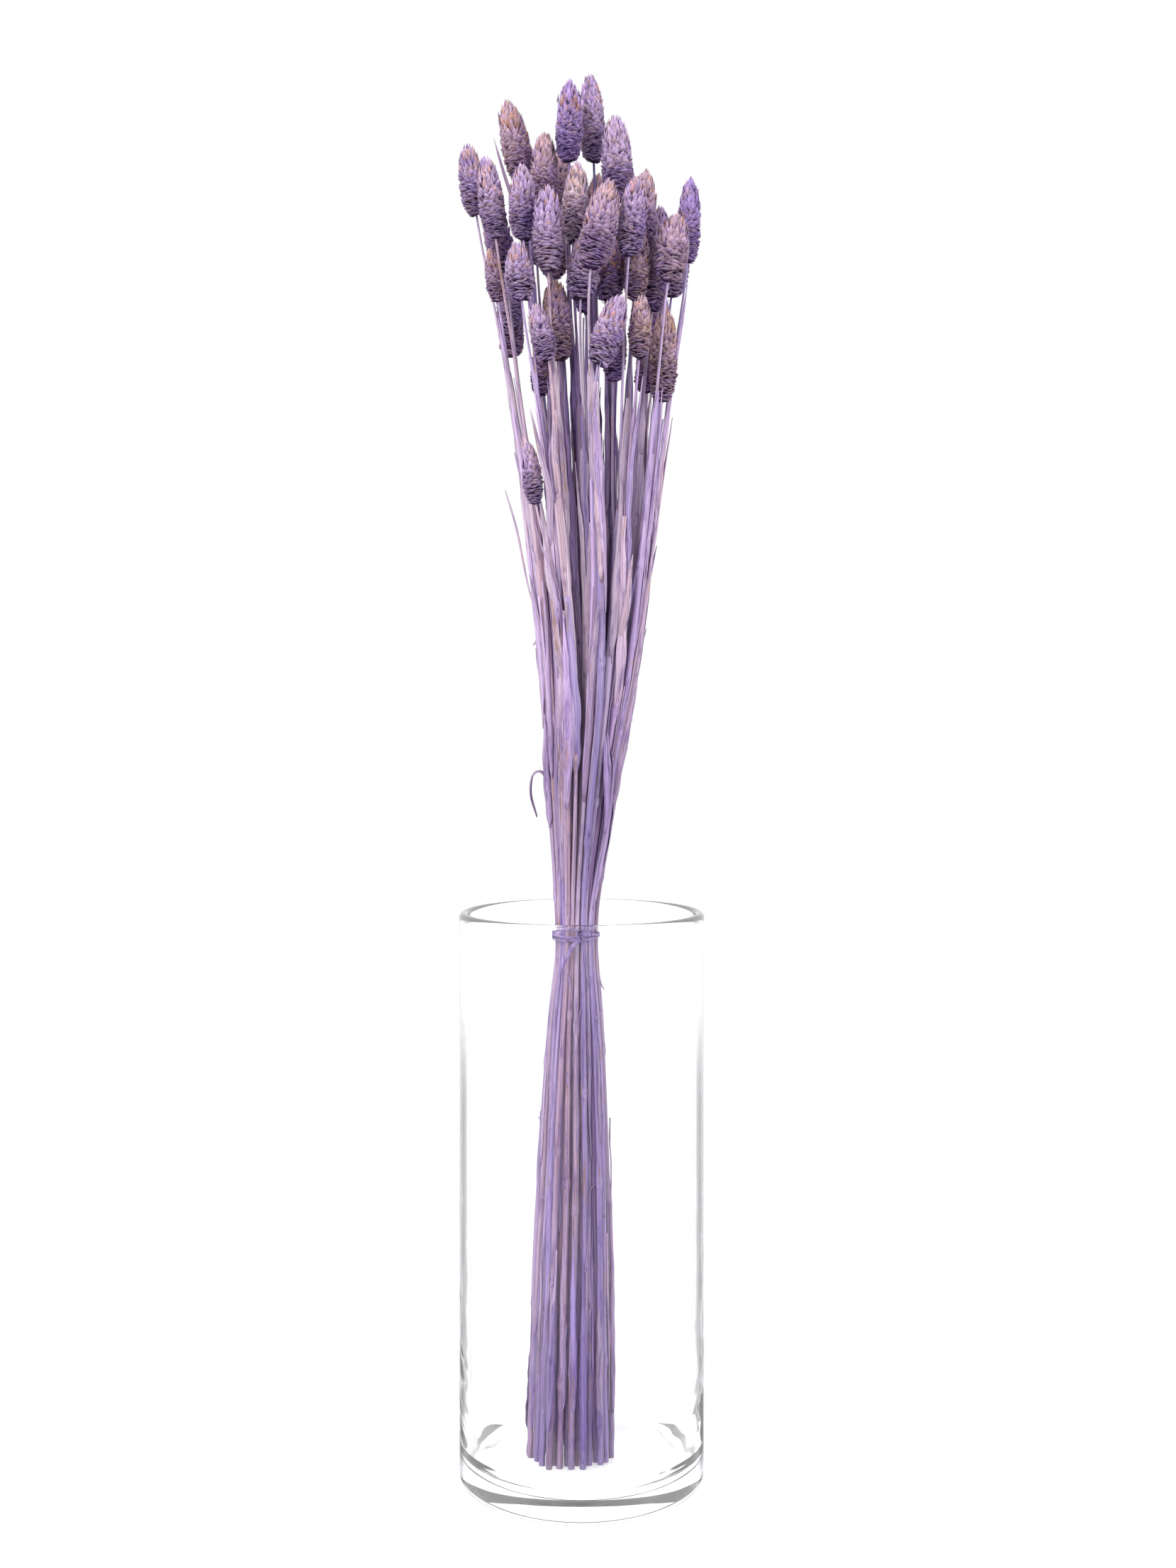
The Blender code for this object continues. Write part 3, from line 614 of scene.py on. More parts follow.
def culm_surface(stem, random):
    """The culm with its sheath, as surface, shade and grain.

    Rings follow the solid's radius and line, with joints. Between the binding and its mouth
    the sheath is flattened and fluted, and its free edge winds up it as a ledge: the radius
    grows with the angle from that edge and falls back at the next turn.
    """
    angles, out = around(16)
    neck = stem.heights[NECK]
    heights = np.append(np.arange(stem.foot, neck, RING_STEP), neck + 1.0)
    middle = line_at(stem, heights)
    middle[:, :2] += 0.3 * np.sin(heights[:, None] / (31.0, 43.0) + random.uniform(0, 6, 2))
    proud, dark = joint_relief(stem, heights, random)
    sheathed = ease(heights, TIED_SPAN[1] + 6, TIED_SPAN[1] + 50)
    sheathed = sheathed * (1 - ease(heights, stem.mouth, stem.mouth + 6))
    turn = (random.uniform(0, 6) + heights / random.uniform(60, 140))[:, None]
    ledge = ((angles[None] - turn) / (2 * math.pi)) % 1.0 - 0.5
    folds = 0.24 * np.cos(2 * (angles - 0.6 * turn)) + 0.26 * ledge
    folds = folds + 0.06 * np.cos(7 * angles + 1.7 * stem.number + 0.4 * turn)
    flutes = 0.035 * np.cos(5 * angles + 1.3 * stem.number)
    reach = (girth(stem, heights) + proud)[:, None] * (1 + flutes + sheathed[:, None] * folds)
    local = reach[..., None] * out
    surface = skin(middle[:, None] + local)
    local[..., 2] = heights[:, None] + GRAIN_APART * stem.number
    # Painted shade: the shade drops towards the step under the wound sheath's edge; the dark lines at
    # the joints are the straw's own
    shade = 0.6 - dark[:, None] + 0.25 * sheathed[:, None] * ledge
    return surface, capped(shade), capped(local)


def mouth_surface(stem, random):
    """The sheath's open mouth: up the outside to a long pointed lip, over it and back inside.

    The lip's height grows with the cosine of the angle from its point, raised to a power, so
    that one side runs up to a point and the other side is cut low.
    """
    angles, out = around(14)
    steps = np.array([-16.0, -8.0, -2.0, 0.0, -0.6, -4.0, -9.0])
    radii = np.array([0.98, 1.05, 1.07, 1.0, 0.84, 0.66, 0.3]) * stem.sheath
    point = random.uniform(0, 6)
    slant = random.uniform(6, 20) * ((1 + np.cos(angles - point)) / 2) ** 2
    slant = slant + random.uniform(-0.8, 0.8, len(angles))
    share = ease(steps, -16, 0)[:, None]
    heights = stem.mouth + steps[:, None] + slant * share
    middle = smooth(stem.heights, stem.line, heights.ravel()).reshape(*heights.shape, 2)
    lean = 1 - 0.35 * share * slant / 20
    rings = np.zeros((*heights.shape, 3))
    rings[..., :2] = middle + (radii[:, None] * lean)[..., None] * out[:, :2]
    rings[..., 2] = heights
    local = radii[:, None, None] * out
    local[..., 2] = heights + GRAIN_APART * stem.number
    return skin(rings), capped(local)


def leaf_surface(heights, line, breadth, outward, random):
    """A leaf blade along its line, rolling and rippling as it dries, pointed at its tip."""
    at = np.linspace(heights[0], heights[-1], 30)
    middles = np.column_stack([smooth(heights, line, at), at])
    share = (at - at[0]) / (at[-1] - at[0])
    away = np.array((outward[0], outward[1], 0.0)) / np.linalg.norm(outward)
    side = np.cross((0.0, 0.0, 1.0), away)
    twist = random.uniform(-0.6, 0.6) + random.uniform(-1.2, 1.2) * share**1.5
    sideways = np.cos(twist)[:, None] * side + np.sin(twist)[:, None] * away
    ripple = 0.35 * np.sin(share * random.uniform(8, 16) + random.uniform(0, 6)) * share
    middles += away * ripple[:, None]
    widths = breadth * np.interp(share, BLADE_STEPS, BLADE_WIDTHS)
    widths = widths * (1 - ease(share, 0.9, 1.02) * 0.8)
    return strip(middles, sideways, widths, cup=random.uniform(0.1, 0.3))


def wrap_surface(stem, root, length, width, bearing, lift, random):
    """A dry strip of sheath against its stem: its bearing turns slowly and its tip stands off.

    The distance from the stem's line is the stem's radius and a part that grows with the
    square of the share of the length. Most end in a point, and a torn one keeps half its width.
    """
    share = np.linspace(0, 1, 24)
    heights = root + length * share
    bearings = bearing + random.uniform(-1.1, 1.1) * share
    bearings = bearings + 0.12 * np.sin(share * random.uniform(6, 14))
    away = np.column_stack([np.cos(bearings), np.sin(bearings), 0 * share])
    clear = girth(stem, heights) * 1.05 + 0.2 + lift * share**2
    clear = clear + 0.3 * np.sin(share * random.uniform(5, 15)) * share
    middles = line_at(stem, heights) + away * clear[:, None]
    sideways = np.column_stack([-np.sin(bearings), np.cos(bearings), 0 * share])
    end = random.choice((0.06, 0.06, 0.45))
    widths = width * np.interp(share, (0, 0.12, 0.4, 0.8, 1.0), (0.3, 0.9, 1.0, 0.55 + end / 3, end))
    widths = widths * (1 + 0.12 * np.sin(share * random.uniform(20, 40)))
    return strip(middles, sideways, widths, cup=random.uniform(0.1, 0.3))


def husk_points(upright):
    """Unit husks, from the level plates low on a head (0) to the flames at its top (1).

    A husk is a keeled boat. It starts and ends in a point, and each of its two sections has
    four points: left edge, keel, right edge, and inside above the keel. Columns are the
    distance along it, the place across it and the depth of its outer face.
    """
    plate = ((0.5, 0.5, 0.10, 0.03), (0.88, 0.44, 0.09, 0.03), (1.0, 0.04))
    flame = ((0.35, 0.5, 0.2, 0.08), (0.68, 0.34, 0.14, 0.04), (1.0, 0.0))
    made = []
    for *sections, (end, drop) in (plate, flame):
        points = []
        for x, half, keel, inside in sections:
            points += [(x, -half, 0), (x, 0, keel), (x, half, 0), (x, 0, inside)]
        made.append(np.array([*points, (0, 0, 0.05), (end, 0, drop)]))
    return made[0] + upright[:, None, None] * (made[1] - made[0])


def husk_colours(tint, s, theta, random):
    """A colour for each husk, by its share of the head's length and its angle round it.

    Straw shows in one broad patch and violet dye pools in another: each is a product of two
    cosines, round the head and along it, with a spread. Some husks near the top turned rusty.
    """
    count = len(s)
    dye, straw = (np.array(value) for value in DYES[tint])
    warm, cool = (
        0.5 + 0.5 * np.cos(theta - random.uniform(*turn)) * np.cos(waves * s + random.uniform(0, 6))
        for turn, waves in (((-1.2, 1.2), 5), ((1.8, 4.4), 4))
    )
    bare = straw * (0.3 + 0.5 * s) * 1.3 * warm + random.normal(0, 0.16, count)
    bare = np.clip(bare, 0, 0.8)[:, None]
    deep = 0.6 * cool * (1.15 - 0.8 * s) + random.normal(0, 0.16, count)
    deep = np.clip(deep, 0, 0.75)[:, None]
    rusty = random.random(count) < 0.3 * warm * ease(s, 0.35, 0.8)
    rust = rusty[:, None] * random.uniform(0.2, 0.7)
    colour = (dye * (1 - bare) + STRAW * bare) * (1 - deep) + VIOLET * deep
    colour = colour * (1 - rust) + RUST * rust
    return colour * random.normal(0.88, 0.14, count)[:, None]


def head_core(stem, neck, axis, length, sides, size):
    """The middle of a head, coloured in painted shade: rings that stay inside the husks and end below
    its tip.
    """
    levels = np.linspace(0.01, 0.88, 18)
    core = stem.width / 2 * np.interp(levels, OUTLINE_SHARES, OUTLINE) - 2.1 * size
    core = core * (1 - 0.8 * ease(levels, 0.6, 0.9))
    middle = neck + axis * (levels * length)[:, None]
    out = around(12)[1][:, :2] @ sides
    return skin(middle[:, None] + np.maximum(core, 0.5)[:, None, None] * out)


def head_husks(shapes, stem, random):
    """The seed head: a dark core and a few hundred husks set in rows, each row half a step on.

    A husk's tip lies on the head's outline and its root is in the core. Low on the head it
    stands out nearly level, so that its edge shows as a thin ridge with a dark gap below it.
    Towards the top it turns upright, narrows and lengthens.
    """
    neck, tip = (np.array((*stem.line[i], stem.heights[i])) for i in (NECK, TIP))
    axis = tip - neck
    length = np.linalg.norm(axis)
    axis /= length
    across = np.cross(axis, (0.0, 1.0, 0.0))
    across /= np.linalg.norm(across)
    sides = np.stack([across, np.cross(axis, across)])
    size = (stem.width / COMMON_HEAD) ** 0.5
    shares = np.linspace(0.02, 1.03, 240)
    pitch = size * between(HUSK_ROWS, ease(shares, *CROWDING))
    run = np.cumsum(np.gradient(shares) * length / pitch)
    rows = np.interp(np.arange(int(run[-1])) + 0.5, run, shares)
    girths = math.pi * stem.width * np.interp(rows, OUTLINE_SHARES, OUTLINE)
    places = size * between(HUSK_PLACES, ease(rows, *CROWDING))
    each = np.maximum(girths / places, 4).astype(int)
    row = np.repeat(np.arange(len(rows)), each)
    count = len(row)
    s = rows[row] + random.normal(0, 0.22, count) / length
    step = np.arange(count) - np.repeat(np.cumsum(each) - each, each) + 0.5 * (row % 2)
    theta = 2 * math.pi * step / each[row] + 0.35 * np.sin(row * 0.7) + random.normal(0, 0.08, count)
    upright = ease(s, 0.2, 0.85)
    rise = np.radians(between(HUSK_RISES, ease(s, 0.1, 0.95)) + random.normal(0, 6, count))
    long = size * between(HUSK_LENGTHS, upright) * random.uniform(0.85, 1.15, count)
    wide = size * between(HUSK_WIDTHS, upright) * random.uniform(0.85, 1.15, count)
    reach = stem.width / 2 * np.interp(s, OUTLINE_SHARES, OUTLINE) + random.normal(0, 0.2, count)
    radial = np.cos(theta)[:, None] * sides[0] + np.sin(theta)[:, None] * sides[1]
    ahead = np.cos(rise)[:, None] * radial + np.sin(rise)[:, None] * axis
    roll = random.normal(0, 0.26, count)[:, None]
    flat = np.cross(axis, radial)
    tangent = flat * np.cos(roll) + np.cross(flat, ahead) * np.sin(roll)
    normal = np.cross(tangent, ahead)
    husks = husk_points(upright)
    bend = random.uniform(0.06, 0.2, count)
    root = neck + axis * (s * length)[:, None] + radial * reach[:, None] - ahead * long[:, None]
    depth = wide[:, None] * husks[..., 2] - (bend * long)[:, None] * husks[..., 0] ** 2
    points = root[:, None] + (long[:, None] * husks[..., 0])[..., None] * ahead[:, None]
    points = points + (wide[:, None] * husks[..., 1])[..., None] * tangent[:, None]
    points = points + depth[..., None] * normal[:, None]
    faces = skin(np.zeros((2, 4, 3)))[1] + (np.arange(count) * husks.shape[1])[:, None, None]
    colour = husk_colours(stem.tint, s, theta, random)
    # Painted shade towards each husk's root, rising to a pale tip that is partly dry wear and partly
    # painted highlight; the keel and inside of the outer section are painted darker so its edges read
    # as pale lines
    worn = 1 - (1 - husks[..., 0]) * (1.7 - 0.8 * upright[:, None])
    worn[:, (5, 7)] -= 0.12
    shapes.add(
        (points.reshape(-1, 3), faces.reshape(-1, 3)),
        HUSK,
        np.repeat(colour, husks.shape[1], 0),
        np.clip(worn, 0, 1).ravel(),
    )
    # The core takes painted shade, so the gaps between the husks read dark
    shapes.add(head_core(stem, neck, axis, length, sides, size), HUSK, CREVICE_SHADE, 0.0)


def torn_surface(stem, random):
    """A torn bit of sheath that stands off the stem: a short strip that peels outwards and curls."""
    span = TORN_SPANS[random.integers(len(TORN_SPANS))]
    foot = line_at(stem, np.array([random.uniform(*span)]))[0]
    bearing = math.atan2(foot[1], foot[0] - TIE_MIDDLE[0]) + random.normal(0, 0.5)
    away = np.array((math.cos(bearing), math.sin(bearing), 0.0))
    share = np.linspace(0, 1, 10)[:, None]
    length = random.uniform(4, 14)
    peel = random.choice((0.05, 0.15, 0.4)) * random.uniform(0.6, 1.2)
    climb = random.choice((-1, 1, 1)) * length
    middles = foot + away * (0.8 + length * (0.1 * share + peel * share**2))
    middles = middles + np.array((0.0, 0.0, 1.0)) * climb * (share - 0.25 * share**3)
    twist = random.uniform(-0.9, 0.9) * share
    sideways = np.cos(twist) * np.cross(away, (0, 0, 1)) + np.sin(twist) * away
    widths = random.uniform(0.9, 2.4) * (1 - share[:, 0] ** 2 * 0.85)
    return strip(middles, sideways, widths, cup=0.3)


def curl_surface(stem):
    """The dry blade that curls out, over and down at the left."""
    marks = np.array(CURL_POINTS)
    steps = np.linspace(0, len(marks) - 1, 40)
    numbers = np.arange(len(marks), dtype=float)
    route = smooth(numbers, marks, steps)
    foot = line_at(stem, np.array([CURL_HEIGHT]))[0]
    middles = foot + np.column_stack([-route[:, 0], 0 * steps, route[:, 1]])
    twist = 0.9 * ease(steps, 1.5, 5.0)
    sideways = np.column_stack([0.4 * np.sin(twist), np.cos(twist), 0.7 * np.sin(twist)])
    sideways /= np.linalg.norm(sideways, axis=1, keepdims=True)
    widths = np.interp(steps, numbers, CURL_WIDTHS)
    return strip(middles, sideways, widths, cup=0.2)


def add_node(tree, kind, settings=None, values=None, links=None):
    """Adds a shader node with its settings, its unlinked inputs and the sockets that feed it."""
    made = tree.nodes.new(kind)
    for name, value in (settings or {}).items():
        setattr(made, name, value)
    for socket, value in (values or {}).items():
        made.inputs[socket].default_value = value
    for socket, source in (links or {}).items():
        tree.links.new(source, made.inputs[socket])
    return made


def new_material(name):
    """An empty node material with its output, as (material, tree, output)."""
    material = bpy.data.materials.new(name)
    material.use_nodes = True
    tree = material.node_tree
    tree.nodes.clear()
    return material, tree, tree.nodes.new("ShaderNodeOutputMaterial")


def speckle(tree, place, per_unit, detail=3.0, roughness=0.55):
    """Noise with so many cells to a unit along X, Y and Z of the place that it reads."""
    scaled = add_node(tree, "ShaderNodeMapping", values={"Scale": per_unit}, links={"Vector": place})
    noise = add_node(
        tree,
        "ShaderNodeTexNoise",
        values={"Scale": 1.0, "Detail": detail, "Roughness": roughness},
        links={"Vector": scaled.outputs["Vector"]},
    )
    return noise.outputs["Fac"]


def spread(tree, source, low, high, start=0.0, end=1.0):
    """Maps low..high of a value to start..end, held at the ends."""
    ranged = add_node(
        tree,
        "ShaderNodeMapRange",
        settings={"interpolation_type": "SMOOTHSTEP"},
        values={"From Min": low, "From Max": high, "To Min": start, "To Max": end},
        links={"Value": source},
    )
    return ranged.outputs["Result"]


def mixed(tree, blend, amount, first, second):
    """Mixes two colours; each of the three may be a socket or a plain value."""
    mix = add_node(tree, "ShaderNodeMix", settings={"data_type": "RGBA", "blend_type": blend})
    for socket, value in ((0, amount), (6, first), (7, second)):
        if isinstance(value, bpy.types.NodeSocket):
            tree.links.new(value, mix.inputs[socket])
        else:
            mix.inputs[socket].default_value = value if socket == 0 else (*value, 1.0)
    return mix.outputs[2]


def coated(tree, colour, coats):
    """Lays coats over a colour in order, each given as its blend mode, amount and colour."""
    for blend, amount, coat in coats:
        colour = mixed(tree, blend, amount, colour, coat)
    return colour


def worked(tree, operation, first, second):
    """One step of arithmetic; each of the two may be a socket or a number."""
    step = add_node(tree, "ShaderNodeMath", settings={"operation": operation})
    for place, value in enumerate((first, second)):
        if isinstance(value, bpy.types.NodeSocket):
            tree.links.new(value, step.inputs[place])
        else:
            step.inputs[place].default_value = value
    return step.outputs[0]


def read(tree, label, socket="Fac"):
    """A point attribute of the mesh."""
    return add_node(tree, "ShaderNodeAttribute", settings={"attribute_name": label}).outputs[socket]


def finish_surface(tree, output, colour, height, relief, values):
    """Closes a material: its colour and bump into one Principled shader with the given values."""
    bump = add_node(
        tree, "ShaderNodeBump", values={"Strength": 0.6, "Distance": relief}, links={"Height": height}
    )
    shader = add_node(
        tree,
        "ShaderNodeBsdfPrincipled",
        values=values,
        links={"Base Color": colour, "Normal": bump.outputs["Normal"]},
    )
    tree.links.new(shader.outputs["BSDF"], output.inputs["Surface"])


def husk_material():
    """Dyed husks, dry and papery: painted shade in the gaps, pale edges of dry wear and painted
    highlight, mottled by the dye.
    """
    material, tree, output = new_material("dyed_seed_husk")
    place = add_node(tree, "ShaderNodeTexCoord").outputs["Object"]
    shade = read(tree, "shade")
    fine = speckle(tree, place, (1400, 1400, 1400), 2.0)
    broad = speckle(tree, place, (150, 150, 150), 3.0)
    coats = (
        # Painted shade: husks go from the crevice colour at their roots to the dye; their edges go
        # pale, partly dry wear and partly painted highlight
        ("MIX", spread(tree, shade, 0.14, 0.68), read(tree, "dye", "Color")),
        ("MIX", spread(tree, shade, 0.75, 1.0, 0.0, 0.7), EDGE_WEAR_AND_HIGHLIGHT),
        ("MULTIPLY", spread(tree, fine, 0.6, 0.35, 0.0, 0.4), linear("9a86ac")),
        ("MIX", spread(tree, broad, 0.55, 0.75, 0.0, 0.25), VIOLET),
    )
    colour = coated(tree, CREVICE_SHADE, coats)
    finish_surface(tree, output, colour, fine, 0.0002, {"Roughness": 0.8, "Specular IOR Level": 0.2})
    return material


def straw_material(name, fibres, roughness, bare):
    """Dyed straw: long fibres along the grain, bare patches, and stains where the dye pooled.

    The fibres of real straw are 0.1 mm apart. They are drawn about 0.4 mm apart, to show.
    The last coat is painted shade from the dye's alpha: darker in the vase, inside the bunch and at its
    back.
    """
    material, tree, output = new_material(name)
    place = read(tree, "grain", "Vector")
    streaks = speckle(tree, place, (fibres, fibres, fibres / 150), 3.0, 0.6)
    bands = speckle(tree, place, (0.55, 0.55, 0.012), 2.0)
    patches = speckle(tree, place, (0.45, 0.45, 0.035), 4.0, 0.7)
    stains = speckle(tree, place, (0.3, 0.3, 0.05), 4.0, 0.7)
    coats = (
        ("MIX", spread(tree, bands, 0.42, 0.62, 0.0, 0.6), linear("e5d1e6")),
        ("MIX", spread(tree, stains, 0.50, 0.66, 0.0, 0.55), linear("8568aa")),
        ("MIX", spread(tree, patches, 0.60, 0.66, 0.0, bare), STRAW),
        ("MULTIPLY", spread(tree, streaks, 0.55, 0.36, 0.0, 0.6), linear("745a8c")),
        ("MULTIPLY", spread(tree, read(tree, "shade"), 0.5, 0.1, 0.0, 0.8), linear("80648f")),
        # Painted shade: the dye's alpha darkens the straw in the vase, inside the bunch and at its back
        ("MULTIPLY", worked(tree, "SUBTRACT", 1.0, read(tree, "dye", "Alpha")), (0.2, 0.15, 0.33)),
    )
    colour = coated(tree, read(tree, "dye", "Color"), coats)
    values = {"Roughness": roughness, "Specular IOR Level": 0.3}
    finish_surface(tree, output, colour, streaks, 0.00025, values)
    return material


def raffia_material(colour):
    """Dyed raffia, split from palm leaf: matt long fibres that took the dye unevenly."""
    material, tree, output = new_material("dyed_raffia")
    place = read(tree, "grain", "Vector")
    fibres = speckle(tree, place, (3.0, 3.0, 0.12), 2.0)
    cloud = speckle(tree, place, (0.2, 0.2, 0.2), 3.0)
    coats = (
        ("MIX", spread(tree, cloud, 0.4, 0.65, 0.0, 0.7), linear("b7a3c6")),
        ("MULTIPLY", spread(tree, fibres, 0.6, 0.4, 0.0, 0.6), linear("80759c")),
    )
    finish_surface(tree, output, coated(tree, colour, coats), fibres, 0.0002, {"Roughness": 0.7})
    return material


def glass_material(tint):
    """Soda-lime glass, pressed and fire polished: clear and smooth, with an index of 1.5.

    Seen edge on it is painted a grey blue by how squarely it faces: a little for the long way light
    takes through it there, mostly a painted reflection of the darker studio at its sides. A small
    part of the light goes straight through, which keeps its thick corners from going black.
    """
    material, tree, output = new_material("soda_lime_glass")
    facing = add_node(tree, "ShaderNodeLayerWeight", values={"Blend": 0.5}).outputs["Facing"]
    # Painted reflection: the glass is tinted grey blue where it is seen edge on
    body = mixed(tree, "MIX", spread(tree, facing, 0.66, 0.95), tint, linear("9398ae"))
    shader = add_node(
        tree,
        "ShaderNodeBsdfPrincipled",
        values={"Roughness": 0.0, "IOR": 1.5, "Transmission Weight": 1.0},
        links={"Base Color": body},
    )
    clear = add_node(tree, "ShaderNodeBsdfTransparent")
    mix = add_node(
        tree,
        "ShaderNodeMixShader",
        values={0: STRAIGHT_THROUGH},
        links={1: shader.outputs["BSDF"], 2: clear.outputs["BSDF"]},
    )
    tree.links.new(mix.outputs[0], output.inputs["Surface"])
    return material


class VaseSettings(bpy.types.PropertyGroup):
    """Sizes and tint of the glass cylinder."""

    diameter: bpy.props.FloatProperty(
        name="Diameter", description="Outside diameter of the glass", default=0.120, unit="LENGTH"
    )
    height: bpy.props.FloatProperty(
        name="Height", description="From the foot to the rim", default=0.276, unit="LENGTH"
    )
    wall: bpy.props.FloatProperty(
        name="Wall", description="Thickness of the wall at the rim", default=0.005, unit="LENGTH"
    )
    base: bpy.props.FloatProperty(
        name="Base", description="Thickness of the base", default=VASE_BASE * MM, unit="LENGTH"
    )
    tint: bpy.props.FloatVectorProperty(
        name="Tint",
        description="Colour that the glass lets through",
        default=(0.985, 0.985, 0.995),
        subtype="COLOR",
    )


class BindingSettings(bpy.types.PropertyGroup):
    """The wound cord."""

    turns: bpy.props.IntProperty(name="Turns", description="Turns round the stems", default=CORD_TURNS)
    colour: bpy.props.FloatVectorProperty(
        name="Colour", description="Dye of the raffia", default=linear("8b76ae"), subtype="COLOR"
    )


class GrassSettings(bpy.types.PropertyGroup):
    """The stems' finish and their loose bits."""

    fibres: bpy.props.FloatProperty(
        name="Fibres", description="Fibres to a millimetre across a stem", default=2.4
    )
    strips: bpy.props.IntProperty(
        name="Strips", description="Dry strips of sheath on each stem above the binding", default=4
    )
    flakes: bpy.props.IntProperty(
        name="Flakes", description="Torn bits of sheath on an outer stem", default=2
    )
    filaments: bpy.props.IntProperty(
        name="Filaments", description="Every how many stems a loose fibre stands off", default=3
    )


class StudioSettings(bpy.types.PropertyGroup):
    """Floor, light and camera."""

    key_power: bpy.props.FloatProperty(
        name="Key light", description="Power of the large soft light", default=22.0, unit="POWER"
    )
    fill_power: bpy.props.FloatProperty(
        name="Fill light", description="Power of the light at the right", default=5.0, unit="POWER"
    )
    surround: bpy.props.FloatProperty(
        name="Surround", description="Brightness of the white surround", default=1.3
    )
    floor: bpy.props.FloatProperty(
        name="Floor", description="Radius of the white floor", default=0.1, unit="LENGTH"
    )
    lens: bpy.props.FloatProperty(
        name="Lens", description="Focal length on a 36 mm frame", default=41.1, unit="CAMERA"
    )


def vase_profile(settings):
    """The vase's section as (radius, height) in millimetres, from the middle of the foot and back.

    The foot and the inside corner are quarter circles and the rim is a half circle. Towards
    the base the inner wall thickens, by an amount that falls off with the height over it, with
    faint rings in it, as pressed glass has. The parts meet a set-back short of each other.
    """
    outer, top = settings.diameter / MM / 2, settings.height / MM
    wall, base = settings.wall / MM, settings.base / MM
    foot, corner, hollow, thicker = 5.0, 9.0, 0.15, 1.3
    pole, set_back = 0.4, 2.0
    turn = np.radians(np.linspace(-90, 0, 12))
    over = np.radians(np.linspace(0, 180, 16))
    disc = np.linspace(0, 1, 14)
    fall = base + corner + 1 + (top - wall / 2 - base - corner - 3) * np.linspace(1, 0, 90) ** 1.7
    low = np.exp(-(fall - base) / 22.0)
    inner = outer - wall - thicker
    parts = (
        (pole + (outer - foot - set_back - pole) * disc, hollow * (1 - disc**4)),
        (outer - foot + foot * np.cos(turn), foot + foot * np.sin(turn)),
        (np.full(30, outer), np.linspace(foot + 4, top - wall / 2 - set_back, 30)),
        (outer - wall / 2 * (1 - np.cos(over)), top - wall / 2 * (1 - np.sin(over))),
        (outer - wall - (thicker - 0.16 * np.sin(fall / 2.1)) * low, fall),
        (inner - corner + corner * np.cos(turn[::-1]), base + corner + corner * np.sin(turn[::-1])),
        (pole + (inner - corner - set_back - pole) * disc[::-1], np.full(14, base)),
    )
    return np.concatenate([np.column_stack(part) for part in parts])


def wave_swell(profile, angles, settings):
    """By what share of its radius the glass swells at each level of its section and each angle.

    Broad and fine waves are each a wave round the wall times a wave up it, and each bends the
    other. Only the inner wall has them. They fade with the height over the base, and are
    strongest at the left and the right.
    """
    radius, level = profile[:, :1], profile[:, 1:]
    over_base = level - settings.base / MM
    inside = (radius < settings.diameter / MM / 2 - 3) & (over_base > 2)
    fade = inside * np.exp(-np.clip(over_base, 0, None) / WAVE_FADE)
    broad = np.cos(5 * angles + 0.9 * np.sin(level / 9.0))
    broad = broad * np.sin(level / 6.5 + 2 * np.sin(3 * angles))
    fine = np.cos(17 * angles + 2 * np.sin(level / 5.0))
    fine = fine * np.sin(level / 2.4 + 3 * np.sin(4 * angles))
    sides = 0.2 + 0.8 * np.cos(angles) ** 2
    return (BROAD_WAVES * broad + FINE_WAVES * fine) * fade * sides


def ride_for(piece, node):
    """Puts the piece on the one body and hides the node's solid, which it replaces."""
    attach(piece, "root")
    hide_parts(node)


class GRASS_OT_vase(bpy.types.Operator):
    """Builds the glass vase"""

    bl_idname = "dried_grass.vase"
    bl_label = "Glass vase"

    def execute(self, context):
        settings = context.scene.grass_vase
        profile = vase_profile(settings)
        angles, out = around(VASE_COLUMNS)
        rings = profile[:, None, :1] * out
        rings *= 1 + wave_swell(profile, angles, settings)[..., None]
        rings[..., 2] = profile[:, 1:]
        shapes = Shapes()
        shapes.add(skin(rings))
        vase = shapes.piece("glass_vase", [glass_material(settings.tint)])
        vase.visible_shadow = False
        ride_for(vase, "vase")
        return {"FINISHED"}


def ply_surface(path, radius, pitch, start):
    """One ply of a twisted cord, and its grain: a tube whose middle circles the path once a pitch."""
    ahead = np.gradient(path, axis=0)
    step = np.linalg.norm(ahead, axis=1, keepdims=True)
    along = np.cumsum(step)
    ahead /= step
    side = np.cross(ahead, (0.0, 0.0, 1.0))
    side /= np.linalg.norm(side, axis=1, keepdims=True)
    up = np.cross(side, ahead)
    turn = start + 2 * math.pi * along / pitch
    middle = path + radius * 0.85 * (np.cos(turn)[:, None] * side + np.sin(turn)[:, None] * up)
    angles, out = around(8)
    ring = np.cos(angles)[None, :, None] * side[:, None] + np.sin(angles)[None, :, None] * up[:, None]
    local = radius * out + np.zeros((len(path), 1, 1))
    local[..., 2] = along[:, None] + 40.0 * start
    return skin(middle[:, None] + radius * ring), capped(local)


def wound_path(inner, turns):
    """The cord's turns round the binding's middle: a helix that wanders up and down, and in and out."""
    angle = np.linspace(-1.4, -1.4 - 2 * math.pi * turns, 110 * turns)
    share = np.linspace(0, 1, len(angle))
    height = TIE_HEIGHT + (turns - 1) * CORD_WIDTH * (share - 0.5)
    height = height + 0.7 * np.sin(2.7 * angle) * np.sin(math.pi * share)
    wound = inner + 0.1 + 0.3 * np.sin(7 * angle)
    return np.column_stack([wound * np.cos(angle), wound * np.sin(angle), height])


